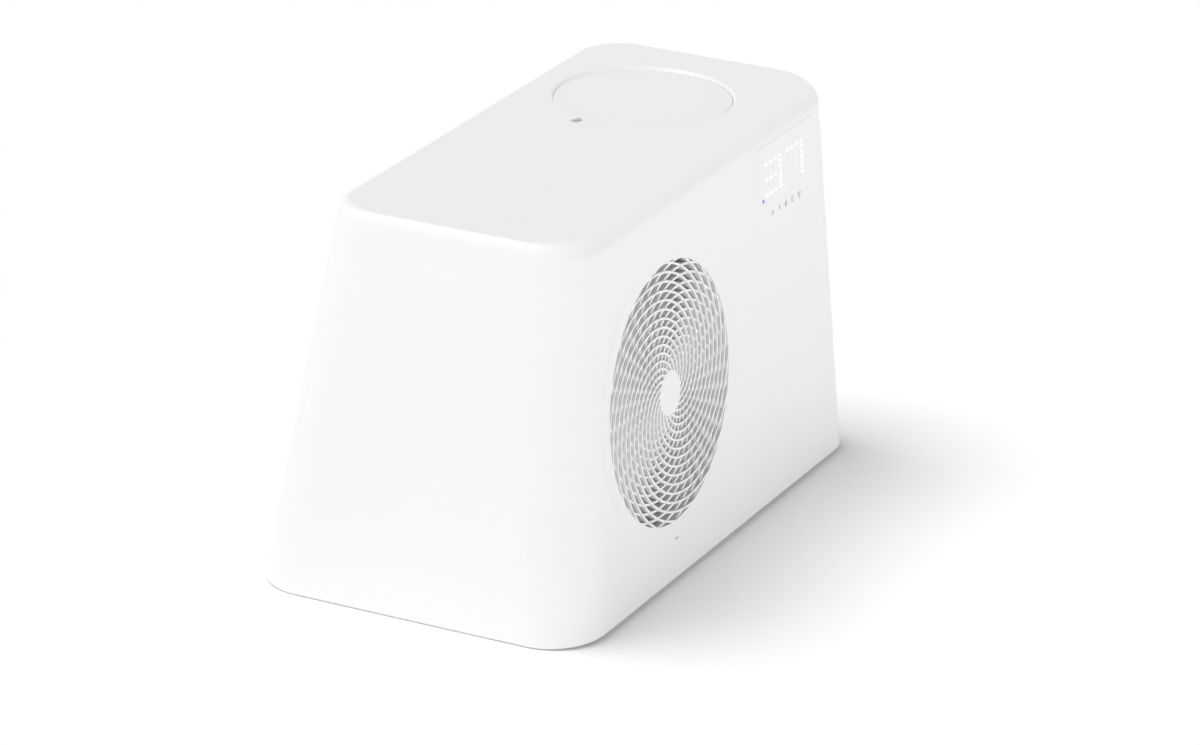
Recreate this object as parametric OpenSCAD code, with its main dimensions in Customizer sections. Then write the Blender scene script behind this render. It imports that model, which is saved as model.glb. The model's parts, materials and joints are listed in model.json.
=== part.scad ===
/* [Casing] */
// Length of the casing at its foot
body_l = 672; // [650:1:720]
// Depth of the casing at its foot
body_d = 380; // [370:1:410]
// Height of the casing
body_h = 408; // [404:1:430]
// Length of the casing at its top
top_l = 617; // [600:1:640]
// Depth of the casing at its top
top_d = 277; // [270:1:300]
// How far the middle of the top sits forward of the middle of the foot
top_shift = 19.6; // [15:0.1:25]
// Corner radius at the foot, seen from above
corner_r = 59; // [50:1:70]
// Corner radius at the top, seen from above
top_corner_r = 54; // [45:1:60]
// Radius of the edge round the top, at the ends and the rear
crown_r = 10; // [8:0.5:14]
// Radius of the softer edge between the top and the front
front_crown_r = 20; // [16:0.5:22]
// Wall thickness of the casing
wall = 3.5; // [3:0.1:4.5]
// Height of the casing above the floor
floor_gap = 5; // [3:0.5:8]

/* [Grille] */
// Distance of the grille's middle to the left of the casing's middle
grille_x = 109.6; // [105:0.1:115]
// Height of the grille's middle above the casing's foot
grille_z = 197; // [190:1:205]
// Radius of the round grille
grille_r = 153.6; // [150:0.1:158]
// Radius of the open spiral pattern
pattern_r = 137; // [130:0.5:140]
// Radius of the blank hub
hub_r = 23.5; // [20:0.5:30]
// Number of spiral ribs in each of the two families
arms = 20; // [16:1:24]
// Radial distance from one rib to the next
rib_pitch = 9.81; // [9:0.01:12]
// Thickness of the front family's ribs
rib_t = 2.2; // [1.6:0.1:2.6]
// Depth of the pattern
rib_depth = 13; // [10:0.5:16]
// How far the second family is set back
rib_back = 2; // [1:0.1:3]
// Thickness of the grille's flat rim
rim_t = 4; // [3:0.1:5]

/* [Lid] */
// Distance of the lid's middle to the right of the casing's middle
lid_x = 149.3; // [145:0.1:155]
// Distance of the lid's middle in front of the foot's middle
lid_y = 11.4; // [8:0.1:15]
// Radius of the lid
lid_r = 94; // [92:0.5:96]
// Thickness of the lid
lid_t = 5; // [4:0.1:6]
// How far the lid lies below the deck
lid_drop = 2.5; // [1.5:0.1:3.5]
// Reach of the finger tab past the lid's edge
tab_reach = 14; // [10:0.5:16]

/* [Display] */
// Distance of the window's middle to the right of the casing's middle
window_x = 179; // [176:0.5:182]
// Height of the window's middle above the casing's foot
window_z = 334; // [330:0.5:338]
// Width of the window
window_w = 158; // [150:1:162]
// Height of the window
window_h = 101; // [96:1:106]
// Corner radius of the window
window_r = 17; // [12:0.5:22]
// Thickness of the window
window_t = 2.8; // [2.2:0.1:3.2]

/* [Airflow] */
// Radius of the fan at its blade tips
fan_r = 124; // [118:0.5:126]
// Number of fan blades
blades = 5; // [4:1:7]
// Length of the fan hub along its axis
fan_hub_l = 30; // [26:0.5:34]
// Radius of the fan hub
fan_hub_r = 42; // [38:0.5:46]
// Width of the condenser's finned block
core_w = 296; // [280:1:300]
// Height of the condenser's finned block
core_h = 300; // [280:1:304]
// Depth of the condenser's finned block
core_d = 40; // [34:1:44]
// Number of tube runs in the condenser
runs = 12; // [8:2:14]
// Number of condenser fins
fins = 40; // [20:1:48]
// Outside radius of the condenser tube
tube_r = 4.75; // [4:0.05:5]

/* [Refrigeration] */
// Radius of the compressor shell
comp_r = 58; // [50:0.5:60]
// Height of the compressor shell
comp_h = 172; // [150:1:180]
// Radius of the heat exchanger shell
hx_r = 52; // [45:0.5:55]
// Height of the heat exchanger shell
hx_h = 230; // [200:1:240]

/* [Water] */
// Outside radius of the filter housing
bowl_r = 64; // [60:0.5:66]
// Height of the filter housing
bowl_h = 262; // [240:1:266]
// Radius of the filter cartridge
cart_r = 53; // [48:0.5:55]
// Number of pleats in the filter cartridge
pleats = 36; // [24:1:48]
// Radius of the pump body
pump_r = 44; // [40:0.5:46]
// Bore radius of the water fittings
port_bore_r = 8; // [7:0.1:9]
// Outside radius of the water fittings' hose spigots
port_r = 10.5; // [9.5:0.1:11.5]
// Length of the water fittings' hose spigots
port_l = 30; // [24:1:36]

/* [Hidden] */
$fn = 96;

// Overrun that lets every cut pass clear through its wall
cut = 1;
// Gap between a piece and the seat it drops into
seat_gap = 0.3;
// Radial clearance of a turning shaft in its hole
run_gap = 0.05;
// Steps round each corner of the casing
corner_steps = 12;
// Steps over the crown
crown_steps = 6;

// Chamfer at the casing's foot
foot_chamfer = 1.2;
// Width of the visible groove round the grille
groove_w = 0.9;
// Radius of the ledge that carries the grille
ledge_r = grille_r - 7;
// Depth of the ledge behind the face
ledge_back = 9;
// Width of the ring that thickens the wall round the grille
seat_ring_w = 5;

// Height of the casing's foot and top above the floor
foot_z = floor_gap;
deck_z = foot_z + body_h;
// Lean of the front and rear faces
front_run = (body_d - top_d) / 2 - top_shift;
back_run = (body_d - top_d) / 2 + top_shift;
front_lean = atan(front_run / body_h);
back_lean = atan(back_run / body_h);

function mix(a, b, t) = a + (b - a) * t;
function unit(v) = v / norm(v);
// Face of the casing at a height above its foot
function front_y(z) = -body_d / 2 + front_run * z / body_h;
function back_y(z) = body_d / 2 - back_run * z / body_h;
function end_x(z) = mix(body_l, top_l, z / body_h) / 2;

// Closed ring of points round a rounded rectangle of half sizes a and b
function ring(a, b, r, s, z) = [
    for (k = [0:3])
        for (i = [0:corner_steps])
            let (
                q = 90 * (k + i / corner_steps),
                cx = (k == 0 || k == 3 ? 1 : -1) * (a - r),
                cy = (k < 2 ? 1 : -1) * (b - r)
            )
            [cx + r * cos(q), cy + r * sin(q) + s, z]
];
// Ring of the tapered casing at a height, drawn in by some inset, and by more at the front
function body_ring(z, inset, front = 0) = let (t = z / body_h)
    ring(
        mix(body_l, top_l, t) / 2 - inset,
        mix(body_d, top_d, t) / 2 - inset - front / 2,
        mix(corner_r, top_corner_r, t) - inset,
        front / 2 - top_shift * t,
        z
    );
// How far a rounded edge has turned in at some distance below its top
function turned_in(r, below) = below < r ? r - sqrt(r * r - (r - below) * (r - below)) : 0;
// Rings up over the crown of a skin that lies this far inside the casing
function crown_rings(inside) = let (r = crown_r - inside, f = front_crown_r - inside) [
    for (below = concat(
        [for (k = [0:crown_steps]) let (b = f * (1 - sin(90 * k / crown_steps))) if (b > r) b],
        [for (k = [0:crown_steps]) r * (1 - sin(90 * k / crown_steps))]
    ))
        body_ring(body_h - inside - below, inside + turned_in(r, below), turned_in(f, below) - turned_in(r, below))
];

// Closed skin through rings that all have the same number of points
module skin(rings) {
    n = len(rings[0]);
    m = len(rings);
    polyhedron(
        points = [for (r = rings) for (p = r) p],
        faces = concat(
            [[for (i = [0:n - 1]) i]],
            [[for (i = [n - 1:-1:0]) (m - 1) * n + i]],
            [for (j = [0:m - 2]) for (i = [0:n - 1])
                let (a = j * n + i, b = j * n + (i + 1) % n) [a, a + n, b + n]],
            [for (j = [0:m - 2]) for (i = [0:n - 1])
                let (a = j * n + i, b = j * n + (i + 1) % n) [a, b + n, b]]
        )
    );
}

// Rounded rectangle made of true arcs
module rrect(w, h, r) {
    square([w - 2 * r, h], center = true);
    square([w, h - 2 * r], center = true);
    for (x = [-1, 1], y = [-1, 1]) translate([x * (w / 2 - r), y * (h / 2 - r)]) circle(r = r);
}

// Stand a child on the front or rear face, its +Z outwards and its +Y up the face
module on_front(x, z) {
    translate([x, front_y(z), foot_z + z]) rotate([90 - front_lean, 0, 0]) children();
}
module on_back(x, z) {
    translate([x, back_y(z), foot_z + z]) rotate([90 - back_lean, 0, 180]) children();
}

// Corner of a path rounded to an arc
function corner_arc(a, b, c, r, m) =
    let (
        u = unit(a - b),
        v = unit(c - b),
        h = acos(u * v) / 2,
        o = b + unit(u + v) * r / sin(h),
        s = b + u * r / tan(h) - o,
        e = b + v * r / tan(h) - o,
        f = 180 - 2 * h
    )
    [for (i = [0:m]) o + (s * sin(f * (1 - i / m)) + e * sin(f * i / m)) / sin(f)];
function rounded_path(p, r, m = 6) = [
    p[0],
    for (i = [1:1:len(p) - 2]) each corner_arc(p[i - 1], p[i], p[i + 1], r, m),
    p[len(p) - 1]
];
// Tube swept along a path, its frame carried from ring to ring
module tube(path, r, sides = 10) {
    last = len(path) - 1;
    way = [for (i = [0:last]) unit(path[min(i + 1, last)] - path[max(i - 1, 0)])];
    first = abs(way[0].z) < 0.9 ? [0, 0, 1] : [1, 0, 0];
    side = [
        for (i = 0, n = unit(first - way[0] * (first * way[0])); i <= last;
            i = i + 1, n = i <= last ? unit(n - way[i] * (n * way[i])) : n) n
    ];
    skin([
        for (i = [0:last])
            [for (k = [0:sides - 1])
                path[i] + r * (side[i] * cos(360 * k / sides) + cross(way[i], side[i]) * sin(360 * k / sides))]
    ]);
}

// Grille pattern. Both rib families are even spirals: a rib gains the same radius for every degree.
// Phases u and v count the ribs of the two families, and a rib lies at each whole turn of its phase.
wave = 360 / rib_pitch;
front_phase = 31.6;
back_phase = 310.8;
// The second layer's walls are thicker by this much, so the front ribs stand on a small step
rib_step = 0.2;
cell_steps = 2;
sweep_steps = 28;
rim_steps = 4;
// The cells run this far under the rim and the hub before those cover them
under = rib_pitch / 3;
function cell_radius(u, v) = (v - u - back_phase + front_phase) / (2 * wave);
function cell_angle(u, v) = (u + v - front_phase - back_phase) / (2 * arms);
function polar(r, a) = [r * cos(a), r * sin(a)];
// Half of a rib's thickness as a phase, at some radius
function rib_half(r, t) = t / 2 * norm([arms * 180 / PI / r, wave]);
function cell_point(u, v) = polar(cell_radius(u, v), cell_angle(u, v));
function cell(i, j) = let (
        h = rib_half(cell_radius(360 * i + 180, 360 * j + 180), rib_t + rib_step),
        a = 360 * i + h,
        b = 360 * (i + 1) - h,
        c = 360 * j + h,
        d = 360 * (j + 1) - h,
        n = cell_steps
    )
    concat(
        [for (k = [0:n - 1]) cell_point(a, mix(c, d, k / n))],
        [for (k = [0:n - 1]) cell_point(mix(a, b, k / n), d)],
        [for (k = [0:n - 1]) cell_point(b, mix(d, c, k / n))],
        [for (k = [0:n - 1]) cell_point(mix(b, a, k / n), c)]
    );
// Angle of the edge of a front rib at some radius, side -1 or 1
function rib_angle(i, r, side) = (360 * i + side * rib_half(r, rib_t) + wave * r - front_phase) / arms;
// Open spiral between front ribs i and i + 1
function channel(i) = let (r0 = hub_r - under, r1 = pattern_r + under)
    concat(
        [for (k = [0:sweep_steps]) let (r = mix(r0, r1, k / sweep_steps)) polar(r, rib_angle(i, r, 1))],
        [for (k = [1:rim_steps - 1])
            polar(r1, mix(rib_angle(i, r1, 1), rib_angle(i + 1, r1, -1), k / rim_steps))],
        [for (k = [sweep_steps:-1:0]) let (r = mix(r0, r1, k / sweep_steps)) polar(r, rib_angle(i + 1, r, -1))]
    );
module annulus(outer, inner) {
    difference() {
        circle(r = outer);
        circle(r = inner);
    }
}
// Second layer: both rib families cross and leave one diamond cell between each pair of pairs
module crossed_ribs() {
    difference() {
        circle(r = pattern_r + under);
        for (i = [0:arms - 1])
            for (m = [1:1:ceil(2 * pattern_r / rib_pitch) + 2]) {
                r = cell_radius(360 * i, 360 * (i + m));
                if (r > hub_r && r < pattern_r + under / 2) polygon(cell(i, i + m));
            }
    }
    annulus(pattern_r + 2 * under, pattern_r - rib_step / 2);
    circle(r = hub_r + rib_step / 2);
}
// Front layer: one family alone
module front_ribs() {
    difference() {
        circle(r = pattern_r + 2 * under);
        for (i = [0:arms - 1]) polygon(channel(i));
    }
    annulus(grille_r, pattern_r);
    circle(r = hub_r);
}

lid_edge = 1.2;
skirt_h = 11;
skirt_t = 2.5;
lid_ribs = 6;
lid_rib_h = 5;
slots_n = 12;
slot_pitch = 24;
slot_w = 6;
foot_dish = 2;
slat_tilt = 35;
slat_d = 8;
wire_y = 95;
wire_z = 230;
wire_turn_x = 24;
root_half = 24;
tip_half = 34;
blade_sweep = 5;
blade_steps = 8;
blade_pitch = 20;
blade_bow = 260;
blade_mid_share = 0.3;
hub_wall = 3;
stub_l = 8;
comp_stub = 6;
dome_steps = 8;
cover_w = 42;
cover_d = 16;
drain_lane = 100;
drain_turn_x = 200;

// Places of the four grille screws, on the ledge
screw_r = 1.4;
screw_head_r = 2.9;
screw_head_h = 2;
grille_screws_n = 4;
screw_ring_r = (ledge_r + grille_r) / 2;
pilot_back = rim_t / 4;
module on_screws(n, ring_r) {
    for (k = [0:n - 1]) rotate([0, 0, 360 / n * (k + 0.5)]) translate([ring_r, 0, 0]) children();
}

// Lid seat, measured down from the deck
lid_z = deck_z - lid_drop;
seal_t = 1.5;
seal_w = 5;
lid_seat_z = lid_z - lid_t - seal_t;
lid_bevel = 3;
lid_well_r = lid_r - 7;
lid_ledge_t = 4;
tab_from = 166;
tab_to = 187;
tab_steps = 10;
// The finger notch: how far the recess stands off the tab's square end
notch_d = 5;
notch_turn = 2;
// Finger tab: starts with a square step and runs back into the lid's edge
function tab_outline(grow, notch = 0) = concat(
    [[0, 0]],
    [for (k = [0:tab_steps]) let (t = k / tab_steps)
        polar(
            lid_r + tab_reach * (1 - t * t) + grow + notch * pow(1 - t, 3),
            mix(tab_from, tab_to, t) - (k == 0 ? grow + (notch == 0 ? 0 : notch_turn) : 0)
        )]
);
module at_lid(z) {
    translate([lid_x, -lid_y, z]) children();
}

// Window pocket and the pad behind it
pad_back = 6;
pad_rim = 5;

// Rear intake opening and its screen
intake_x = -grille_x;
intake_z = 195;
intake_w = 300;
intake_h = 236;
intake_r = 14;
intake_lip = 6;
screen_t = 5;
slat_n = 15;
slat_t = 2;
screen_rail = 9;

// Rear port plate
plate_x = 222;
plate_z = 134;
plate_w = 132;
plate_h = 206;
plate_r = 10;
plate_t = 3;
plate_lip = 6;
plate_depth = 5;
// Places on the port plate, from its middle
inlet_at = [40, -62];
outlet_at = [-40, -62];
drain_at = [0, -62];
power_at = [0, 52];
port_flange_r = 17;
port_flange_t = 4;
port_neck_r = 13;
port_neck_l = 34;

tray_t = 3;
tray_z = foot_z + 3;
tray_top = tray_z + tray_t;
tray_gap = 0.8;
tray_half = end_x(tray_top - foot_z) - wall - tray_gap;
tray_front = front_y(tray_top - foot_z) + wall + tray_gap;
tray_rear = back_y(tray_top - foot_z) - wall - tray_gap;
tray_y = (tray_front + tray_rear) / 2;
foot_r = 17;
foot_in_x = 70;
foot_in_y = 55;
boss_r = 6.5;
boss_h = 24;
boss_root = 2.5;
boss_y = 95;
base_screw_r = 2;
base_screw_l = 18;
base_head_r = 4;
base_head_h = 2.5;
module on_bosses() {
    for (x = [-1, 1], y = [-1, 0, 1])
        translate([x * (end_x(tray_top - foot_z + boss_h) - wall + boss_root - boss_r), y * boss_y, 0]) children();
}

// Fan and condenser
fan_z = foot_z + grille_z;
core_front = 50;
core_drop = 4;
core_z = fan_z - core_drop - core_h / 2;
run_pitch = core_h / runs;
fin_t = 0.8;
end_t = 1.5;
end_off = 2;
bend_off = 4;
tip_gap = 3;
ring_t = 2.5;
ring_front = 146;
shroud_front = 112;
shroud_t = 2.5;
shroud_edge = 6;
hub_front = 143;
shaft_r = 4;
shaft_in = 22;
motor_r = 36;
motor_front = 106;
motor_l = 42;
arm_w = 10;
arm_t = 3;
arms_n = 4;
arm_reach = 137;
blade_t = 2.4;

// Compressor and its feet
comp_x = -190;
comp_y = 88;
mount_h = 14;
mount_r = 9;
mount_bore = 4;
comp_plate_t = 3;
comp_plate = 140;
comp_plate_r = 16;
mount_in = 14;
comp_z = tray_top + mount_h + comp_plate_t;
comp_bolt_r = 3.6;
dome_h = 34;
seam_h = 8;
seam_w = 2.5;

acc_x = -102;
acc_y = 110;
acc_z = 52;
acc_r = 20;
acc_h = 120;
acc_dome = 14;
acc_foot_t = 2;

hx_x = -5;
hx_y = 82;
hx_z = tray_top + 14;
hx_cap_h = 26;
hx_cap_w = 3;
hx_port_r = 11;
hx_port_l = 12;
hx_port_z = 150;
band_t = 1.2;
band_w = 14;
band_leg = 30;

drier_x = 70;
drier_y = 120;
drier_z = 78;
drier_r = 11;
drier_h = 100;
drier_cone = 14;
line_r = 4;
line_bend = 10;
discharge_z = 150;
discharge_x = -292;
liquid_y = 8;
gas_in_z = 218;
gas_out_z = 228;
suction_z = 38;

// Water side
bowl_room = 28;
bowl_top = lid_seat_z - lid_ledge_t - bowl_room;
bowl_wall = 4;
bowl_floor = 6;
bowl_flange_w = 8;
bowl_flange_t = 7;
bowl_port_r = 12;
bowl_port_l = 16;
bowl_port_drop = 27;
bowl_port_z = bowl_top - bowl_port_drop;
bowl_ribs = 16;
bowl_rib_w = 3;
bowl_rib_d = 1.6;
stand_t = 6;
stand_r = 52;
stand_bore = 26;
post_r = 6;
cart_gap = 0.3;
cart_h = 236;
cart_cap_h = 8;
cart_cap_w = 2;
cart_core_r = 12;
pleat_d = 14;
cap_t = 8;
cap_plug = 12;
cap_bar_l = 112;
cap_bar_w = 14;
cap_bar_h = 12;
cap_ribs = 24;
cap_rib_r = 2;

pump_x = 270;
pump_z = 62;
pump_front = 120;
pump_l = 36;
pump_wall = 7;
pump_motor_r = 39;
pump_motor_l = 112;
pump_port_r = 11;
pump_port_l = 18;
pump_fins = 18;
pump_fin_d = 2;
impeller_r = 33;
impeller_t = 3;
vane_t = 2.5;
vane_h = 12;
vanes_n = 6;
pump_foot_w = 76;
pump_foot_l = 90;
pump_foot_t = 3;
hose_r = 10;
hose_bend = 14;
drain_hose_r = 7;
hose_front = 160;
hose_mid_x = 72;
hose_mid_y = 102;
hose_high = 290;
hose_back_y = 82;
inlet_lane_y = 112;

// Electrics
pcb_t = 1.6;
led_back = 0.3;
box_x = 267;
box_w = 70;
box_front = 60;
box_d = 118;
box_z = 180;
box_h = 130;
box_cover_t = 2.5;
bracket_t = 2;
lead_r = 3;
lead_bend = 8;

power_w = 30;
power_h = 62;
power_t = 2;
power_body_w = 26;
power_body_h = 54;
power_body_d = 24;
socket_w = 20;
socket_h = 15;
socket_d = 16;
socket_y = -14;
blade_w = 2;
blade_h = 4;
blade_l = 10;
blade_gap = 7;
rocker_w = 12;
rocker_h = 17;
rocker_y = 15;
rocker_d = 6;
rocker_rise = 1.5;
rocker_pivot = 4;
rocker_tilt = 10;
rocker_room = 1.6;

spigot_bead = 1;
spigot_bead_w = 3;
nut_r = 19;
nut_t = 7;
valve_r = 11;
valve_l = 30;
valve_bore_r = 5;
valve_spout_r = 8;
valve_spout_l = 16;
stem_r = 3;
stem_h = 6;
lever_l = 20;
lever_w = 9;
lever_t = 3;

module casing() {
    color("white") difference() {
        union() {
            difference() {
                translate([0, 0, foot_z])
                    skin(concat([body_ring(0, foot_chamfer), body_ring(foot_chamfer, 0)], crown_rings(0)));
                translate([0, 0, foot_z])
                    skin(concat([body_ring(-cut, wall), body_ring(0, wall)], crown_rings(wall)));
            }
            // Thickened ring that carries the grille
            on_front(-grille_x, grille_z) translate([0, 0, -ledge_back])
                cylinder(r = grille_r + groove_w + seat_ring_w, h = ledge_back - wall / 2);
            // Pad behind the window
            on_front(window_x, window_z) translate([0, 0, -pad_back])
                linear_extrude(pad_back - wall / 2)
                    rrect(window_w + 2 * pad_rim, window_h + 2 * pad_rim, window_r + pad_rim);
            // Ring under the deck that carries the lid
            at_lid(lid_seat_z - lid_ledge_t) {
                cylinder(r = lid_r + lid_bevel + seat_ring_w, h = deck_z - wall / 2 - lid_seat_z + lid_ledge_t);
                linear_extrude(deck_z - wall / 2 - lid_seat_z + lid_ledge_t)
                    polygon(tab_outline(seat_ring_w));
            }
            // Bosses at the ends that take the base screws
            on_bosses() translate([0, 0, tray_top]) cylinder(r = boss_r, h = boss_h);
            // Pads behind the rear openings
            on_back(intake_x, intake_z) translate([0, 0, -screen_t - wall])
                linear_extrude(screen_t + wall / 2)
                    rrect(intake_w + 2 * intake_lip, intake_h + 2 * intake_lip, intake_r + intake_lip);
            on_back(plate_x, plate_z) translate([0, 0, -plate_depth - wall])
                linear_extrude(plate_depth + wall / 2)
                    rrect(plate_w + 2 * plate_lip, plate_h + 2 * plate_lip, plate_r + plate_lip);
        }
        on_bosses() translate([0, 0, tray_top - cut]) cylinder(r = base_screw_r + run_gap, h = base_screw_l, $fn = 24);
        on_front(-grille_x, grille_z) {
            translate([0, 0, -rim_t]) cylinder(r = grille_r + groove_w, h = rim_t + cut);
            translate([0, 0, -ledge_back - cut]) cylinder(r = ledge_r, h = ledge_back + cut);
            on_screws(grille_screws_n, screw_ring_r) translate([0, 0, -ledge_back - cut])
                cylinder(r = screw_r + seat_gap, h = ledge_back + cut, $fn = 24);
        }
        on_front(window_x, window_z) {
            translate([0, 0, -window_t]) linear_extrude(window_t + cut)
                rrect(window_w + 2 * seat_gap, window_h + 2 * seat_gap, window_r + seat_gap);
            translate([0, 0, -pad_back - cut]) linear_extrude(pad_back + cut)
                rrect(window_w - 2 * pad_rim, window_h - 2 * pad_rim, window_r - pad_rim);
        }
        at_lid(lid_seat_z) {
            cylinder(r = lid_r + seat_gap, h = deck_z - lid_seat_z + cut);
            linear_extrude(deck_z - lid_seat_z + cut) polygon(tab_outline(seat_gap, notch_d));
            translate([0, 0, -lid_ledge_t - cut]) cylinder(r = lid_well_r, h = lid_ledge_t + 2 * cut);
        }
        at_lid(deck_z - lid_bevel) cylinder(r1 = lid_r + seat_gap, r2 = lid_r + lid_bevel, h = lid_bevel);
        at_lid(deck_z) cylinder(r = lid_r + lid_bevel, h = cut);
        on_back(intake_x, intake_z) {
            translate([0, 0, -screen_t]) linear_extrude(screen_t + cut)
                rrect(intake_w + 2 * seat_gap, intake_h + 2 * seat_gap, intake_r + seat_gap);
            translate([0, 0, -screen_t - wall - cut]) linear_extrude(screen_t + wall + cut)
                rrect(intake_w - 2 * intake_lip, intake_h - 2 * intake_lip, intake_r - intake_lip);
        }
        on_back(plate_x, plate_z) {
            translate([0, 0, -plate_depth]) linear_extrude(plate_depth + cut)
                rrect(plate_w + 2 * seat_gap, plate_h + 2 * seat_gap, plate_r + seat_gap);
            translate([0, 0, -plate_depth - wall - cut]) linear_extrude(plate_depth + wall + cut)
                rrect(plate_w - 2 * plate_lip, plate_h - 2 * plate_lip, plate_r - plate_lip / 2);
        }
    }
}

module fan_grille() {
    color("white") on_front(-grille_x, grille_z) difference() {
        union() {
            translate([0, 0, -rib_back]) linear_extrude(rib_back) front_ribs();
            translate([0, 0, -rim_t]) linear_extrude(rim_t - rib_back)
                annulus(grille_r, pattern_r + 2 * under + seat_gap);
        }
        on_screws(grille_screws_n, screw_ring_r) translate([0, 0, -rim_t - cut])
            cylinder(r = screw_r + run_gap, h = cut + rim_t - pilot_back, $fn = 24);
    }
}

module grille_core() {
    color("white") on_front(-grille_x, grille_z) translate([0, 0, -rib_depth])
        linear_extrude(rib_depth - rib_back) crossed_ribs();
}

module grille_screws() {
    color("silver") on_front(-grille_x, grille_z) on_screws(grille_screws_n, screw_ring_r) {
        translate([0, 0, -ledge_back - screw_head_h]) cylinder(r = screw_head_r, h = screw_head_h, $fn = 32);
        translate([0, 0, -ledge_back - screw_head_h / 2])
            cylinder(r = screw_r, h = ledge_back + screw_head_h / 2 - pilot_back - seat_gap, $fn = 24);
    }
}

module display_window() {
    color("white") on_front(window_x, window_z) translate([0, 0, -window_t])
        linear_extrude(window_t) rrect(window_w, window_h, window_r);
}

module display_board() {
    color("green") on_front(window_x, window_z) {
        translate([0, 0, -pad_back - pcb_t]) linear_extrude(pcb_t) rrect(window_w, window_h, pad_rim);
        translate([0, 0, -pad_back - pcb_t / 2]) linear_extrude(pad_back + pcb_t / 2 - window_t - led_back)
            rrect(window_w - 4 * pad_rim, window_h - 4 * pad_rim, pad_rim);
    }
}

module top_lid() {
    color("white") at_lid(lid_z - lid_t) {
        rotate_extrude() polygon([
            [0, 0], [lid_r, 0], [lid_r, lid_t - lid_edge], [lid_r - lid_edge, lid_t], [0, lid_t]
        ]);
        linear_extrude(lid_t) polygon(tab_outline(0));
        // Skirt that centres the lid in its well, and the ribs that stiffen it
        translate([0, 0, -skirt_h]) linear_extrude(skirt_h + lid_t / 2)
            annulus(lid_well_r - seat_gap * 3, lid_well_r - seat_gap * 3 - skirt_t);
        for (k = [0:lid_ribs / 2 - 1]) rotate([0, 0, 360 * k / lid_ribs])
            translate([-lid_well_r + skirt_t, -skirt_t / 2, -lid_rib_h])
                cube([2 * (lid_well_r - skirt_t), skirt_t, lid_rib_h + lid_t / 2]);
    }
}

module lid_seal() {
    color("dimgray") at_lid(lid_seat_z) linear_extrude(seal_t) annulus(lid_r - cut, lid_r - cut - seal_w);
}

module base_tray() {
    color("gray") difference() {
        translate([0, tray_y, tray_z]) linear_extrude(tray_t)
            rrect(2 * tray_half, tray_rear - tray_front, corner_r - wall - tray_gap);
        on_bosses() translate([0, 0, tray_z - cut])
            cylinder(r = base_screw_r + seat_gap, h = tray_t + 2 * cut, $fn = 24);
        // Drip slots under the condenser
        for (k = [0:slots_n - 1])
            translate([-grille_x + (k - (slots_n - 1) / 2) * slot_pitch - slot_w / 2, -core_front, tray_z - cut])
                cube([slot_w, core_d, tray_t + 2 * cut]);
    }
}

module base_screws() {
    color("silver") on_bosses() {
        translate([0, 0, tray_z - base_head_h]) cylinder(r = base_head_r, h = base_head_h, $fn = 32);
        translate([0, 0, tray_z - base_head_h / 2]) cylinder(r = base_screw_r, h = base_screw_l, $fn = 24);
    }
}

module rubber_feet() {
    color("black") for (x = [-1, 1], y = [-1, 1])
        translate([x * (tray_half - foot_in_x), tray_y + y * ((tray_rear - tray_front) / 2 - foot_in_y), 0])
            rotate_extrude() polygon([
                [0, foot_dish], [foot_r / 2, foot_dish], [foot_r / 2 + foot_dish, 0], [foot_r - foot_dish, 0],
                [foot_r, foot_dish], [foot_r - foot_dish, tray_z], [0, tray_z]
            ]);
}

module intake_screen() {
    color("white") on_back(intake_x, intake_z) translate([0, 0, -screen_t]) {
        linear_extrude(screen_t) difference() {
            rrect(intake_w, intake_h, intake_r);
            rrect(intake_w - 2 * screen_rail, intake_h - 2 * screen_rail, intake_r - screen_rail / 2);
            // Finger notches in the side rails
            for (x = [-1, 1]) translate([x * intake_w / 2, 0]) circle(r = screen_rail * 2 / 3);
        }
        for (k = [0:slat_n - 1])
            translate([0, (k - (slat_n - 1) / 2) * (intake_h - 2 * screen_rail) / slat_n, screen_t / 2])
                rotate([slat_tilt, 0, 0])
                    cube([intake_w - 2 * screen_rail + cut, slat_t, slat_d], center = true);
        translate([-slat_t / 2, -intake_h / 2 + screen_rail / 2, 0]) cube([slat_t, intake_h - screen_rail, slat_t]);
    }
}

// Child stood on the port plate's outer face at one of its places
module on_plate(at) {
    on_back(plate_x, plate_z) translate([at.x, at.y, plate_t - plate_depth]) children();
}

module port_plate() {
    color("gainsboro") on_back(plate_x, plate_z) translate([0, 0, -plate_depth]) difference() {
        linear_extrude(plate_t) rrect(plate_w, plate_h, plate_r);
        for (p = [inlet_at, outlet_at, drain_at]) translate([p.x, p.y, -cut])
            cylinder(r = port_neck_r + seat_gap, h = plate_t + 2 * cut);
        translate([power_at.x, power_at.y, -cut]) linear_extrude(plate_t + 2 * cut)
            square([power_body_w + 2 * seat_gap, power_body_h + 2 * seat_gap], center = true);
    }
}

// Bulkhead fitting with a hose spigot outside, and its locknut
module water_fitting() {
    difference() {
        union() {
            cylinder(r = port_flange_r, h = port_flange_t);
            cylinder(r = port_r, h = port_flange_t + port_l);
            translate([0, 0, port_flange_t + port_l - spigot_bead_w])
                cylinder(r = port_r + spigot_bead, h = spigot_bead_w);
            translate([0, 0, -port_neck_l]) cylinder(r = port_neck_r, h = port_neck_l + port_flange_t / 2);
        }
        translate([0, 0, -port_neck_l - cut]) cylinder(r = port_bore_r, h = port_neck_l + port_flange_t + port_l + 2 * cut);
    }
    locknut();
}
module locknut() {
    translate([0, 0, -plate_t - nut_t]) difference() {
        cylinder(r = nut_r, h = nut_t, $fn = 6);
        translate([0, 0, -cut]) cylinder(r = port_neck_r + run_gap, h = nut_t + 2 * cut);
    }
}
module water_inlet() {
    color("dimgray") on_plate(inlet_at) water_fitting();
}
module water_outlet() {
    color("dimgray") on_plate(outlet_at) water_fitting();
}

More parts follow.
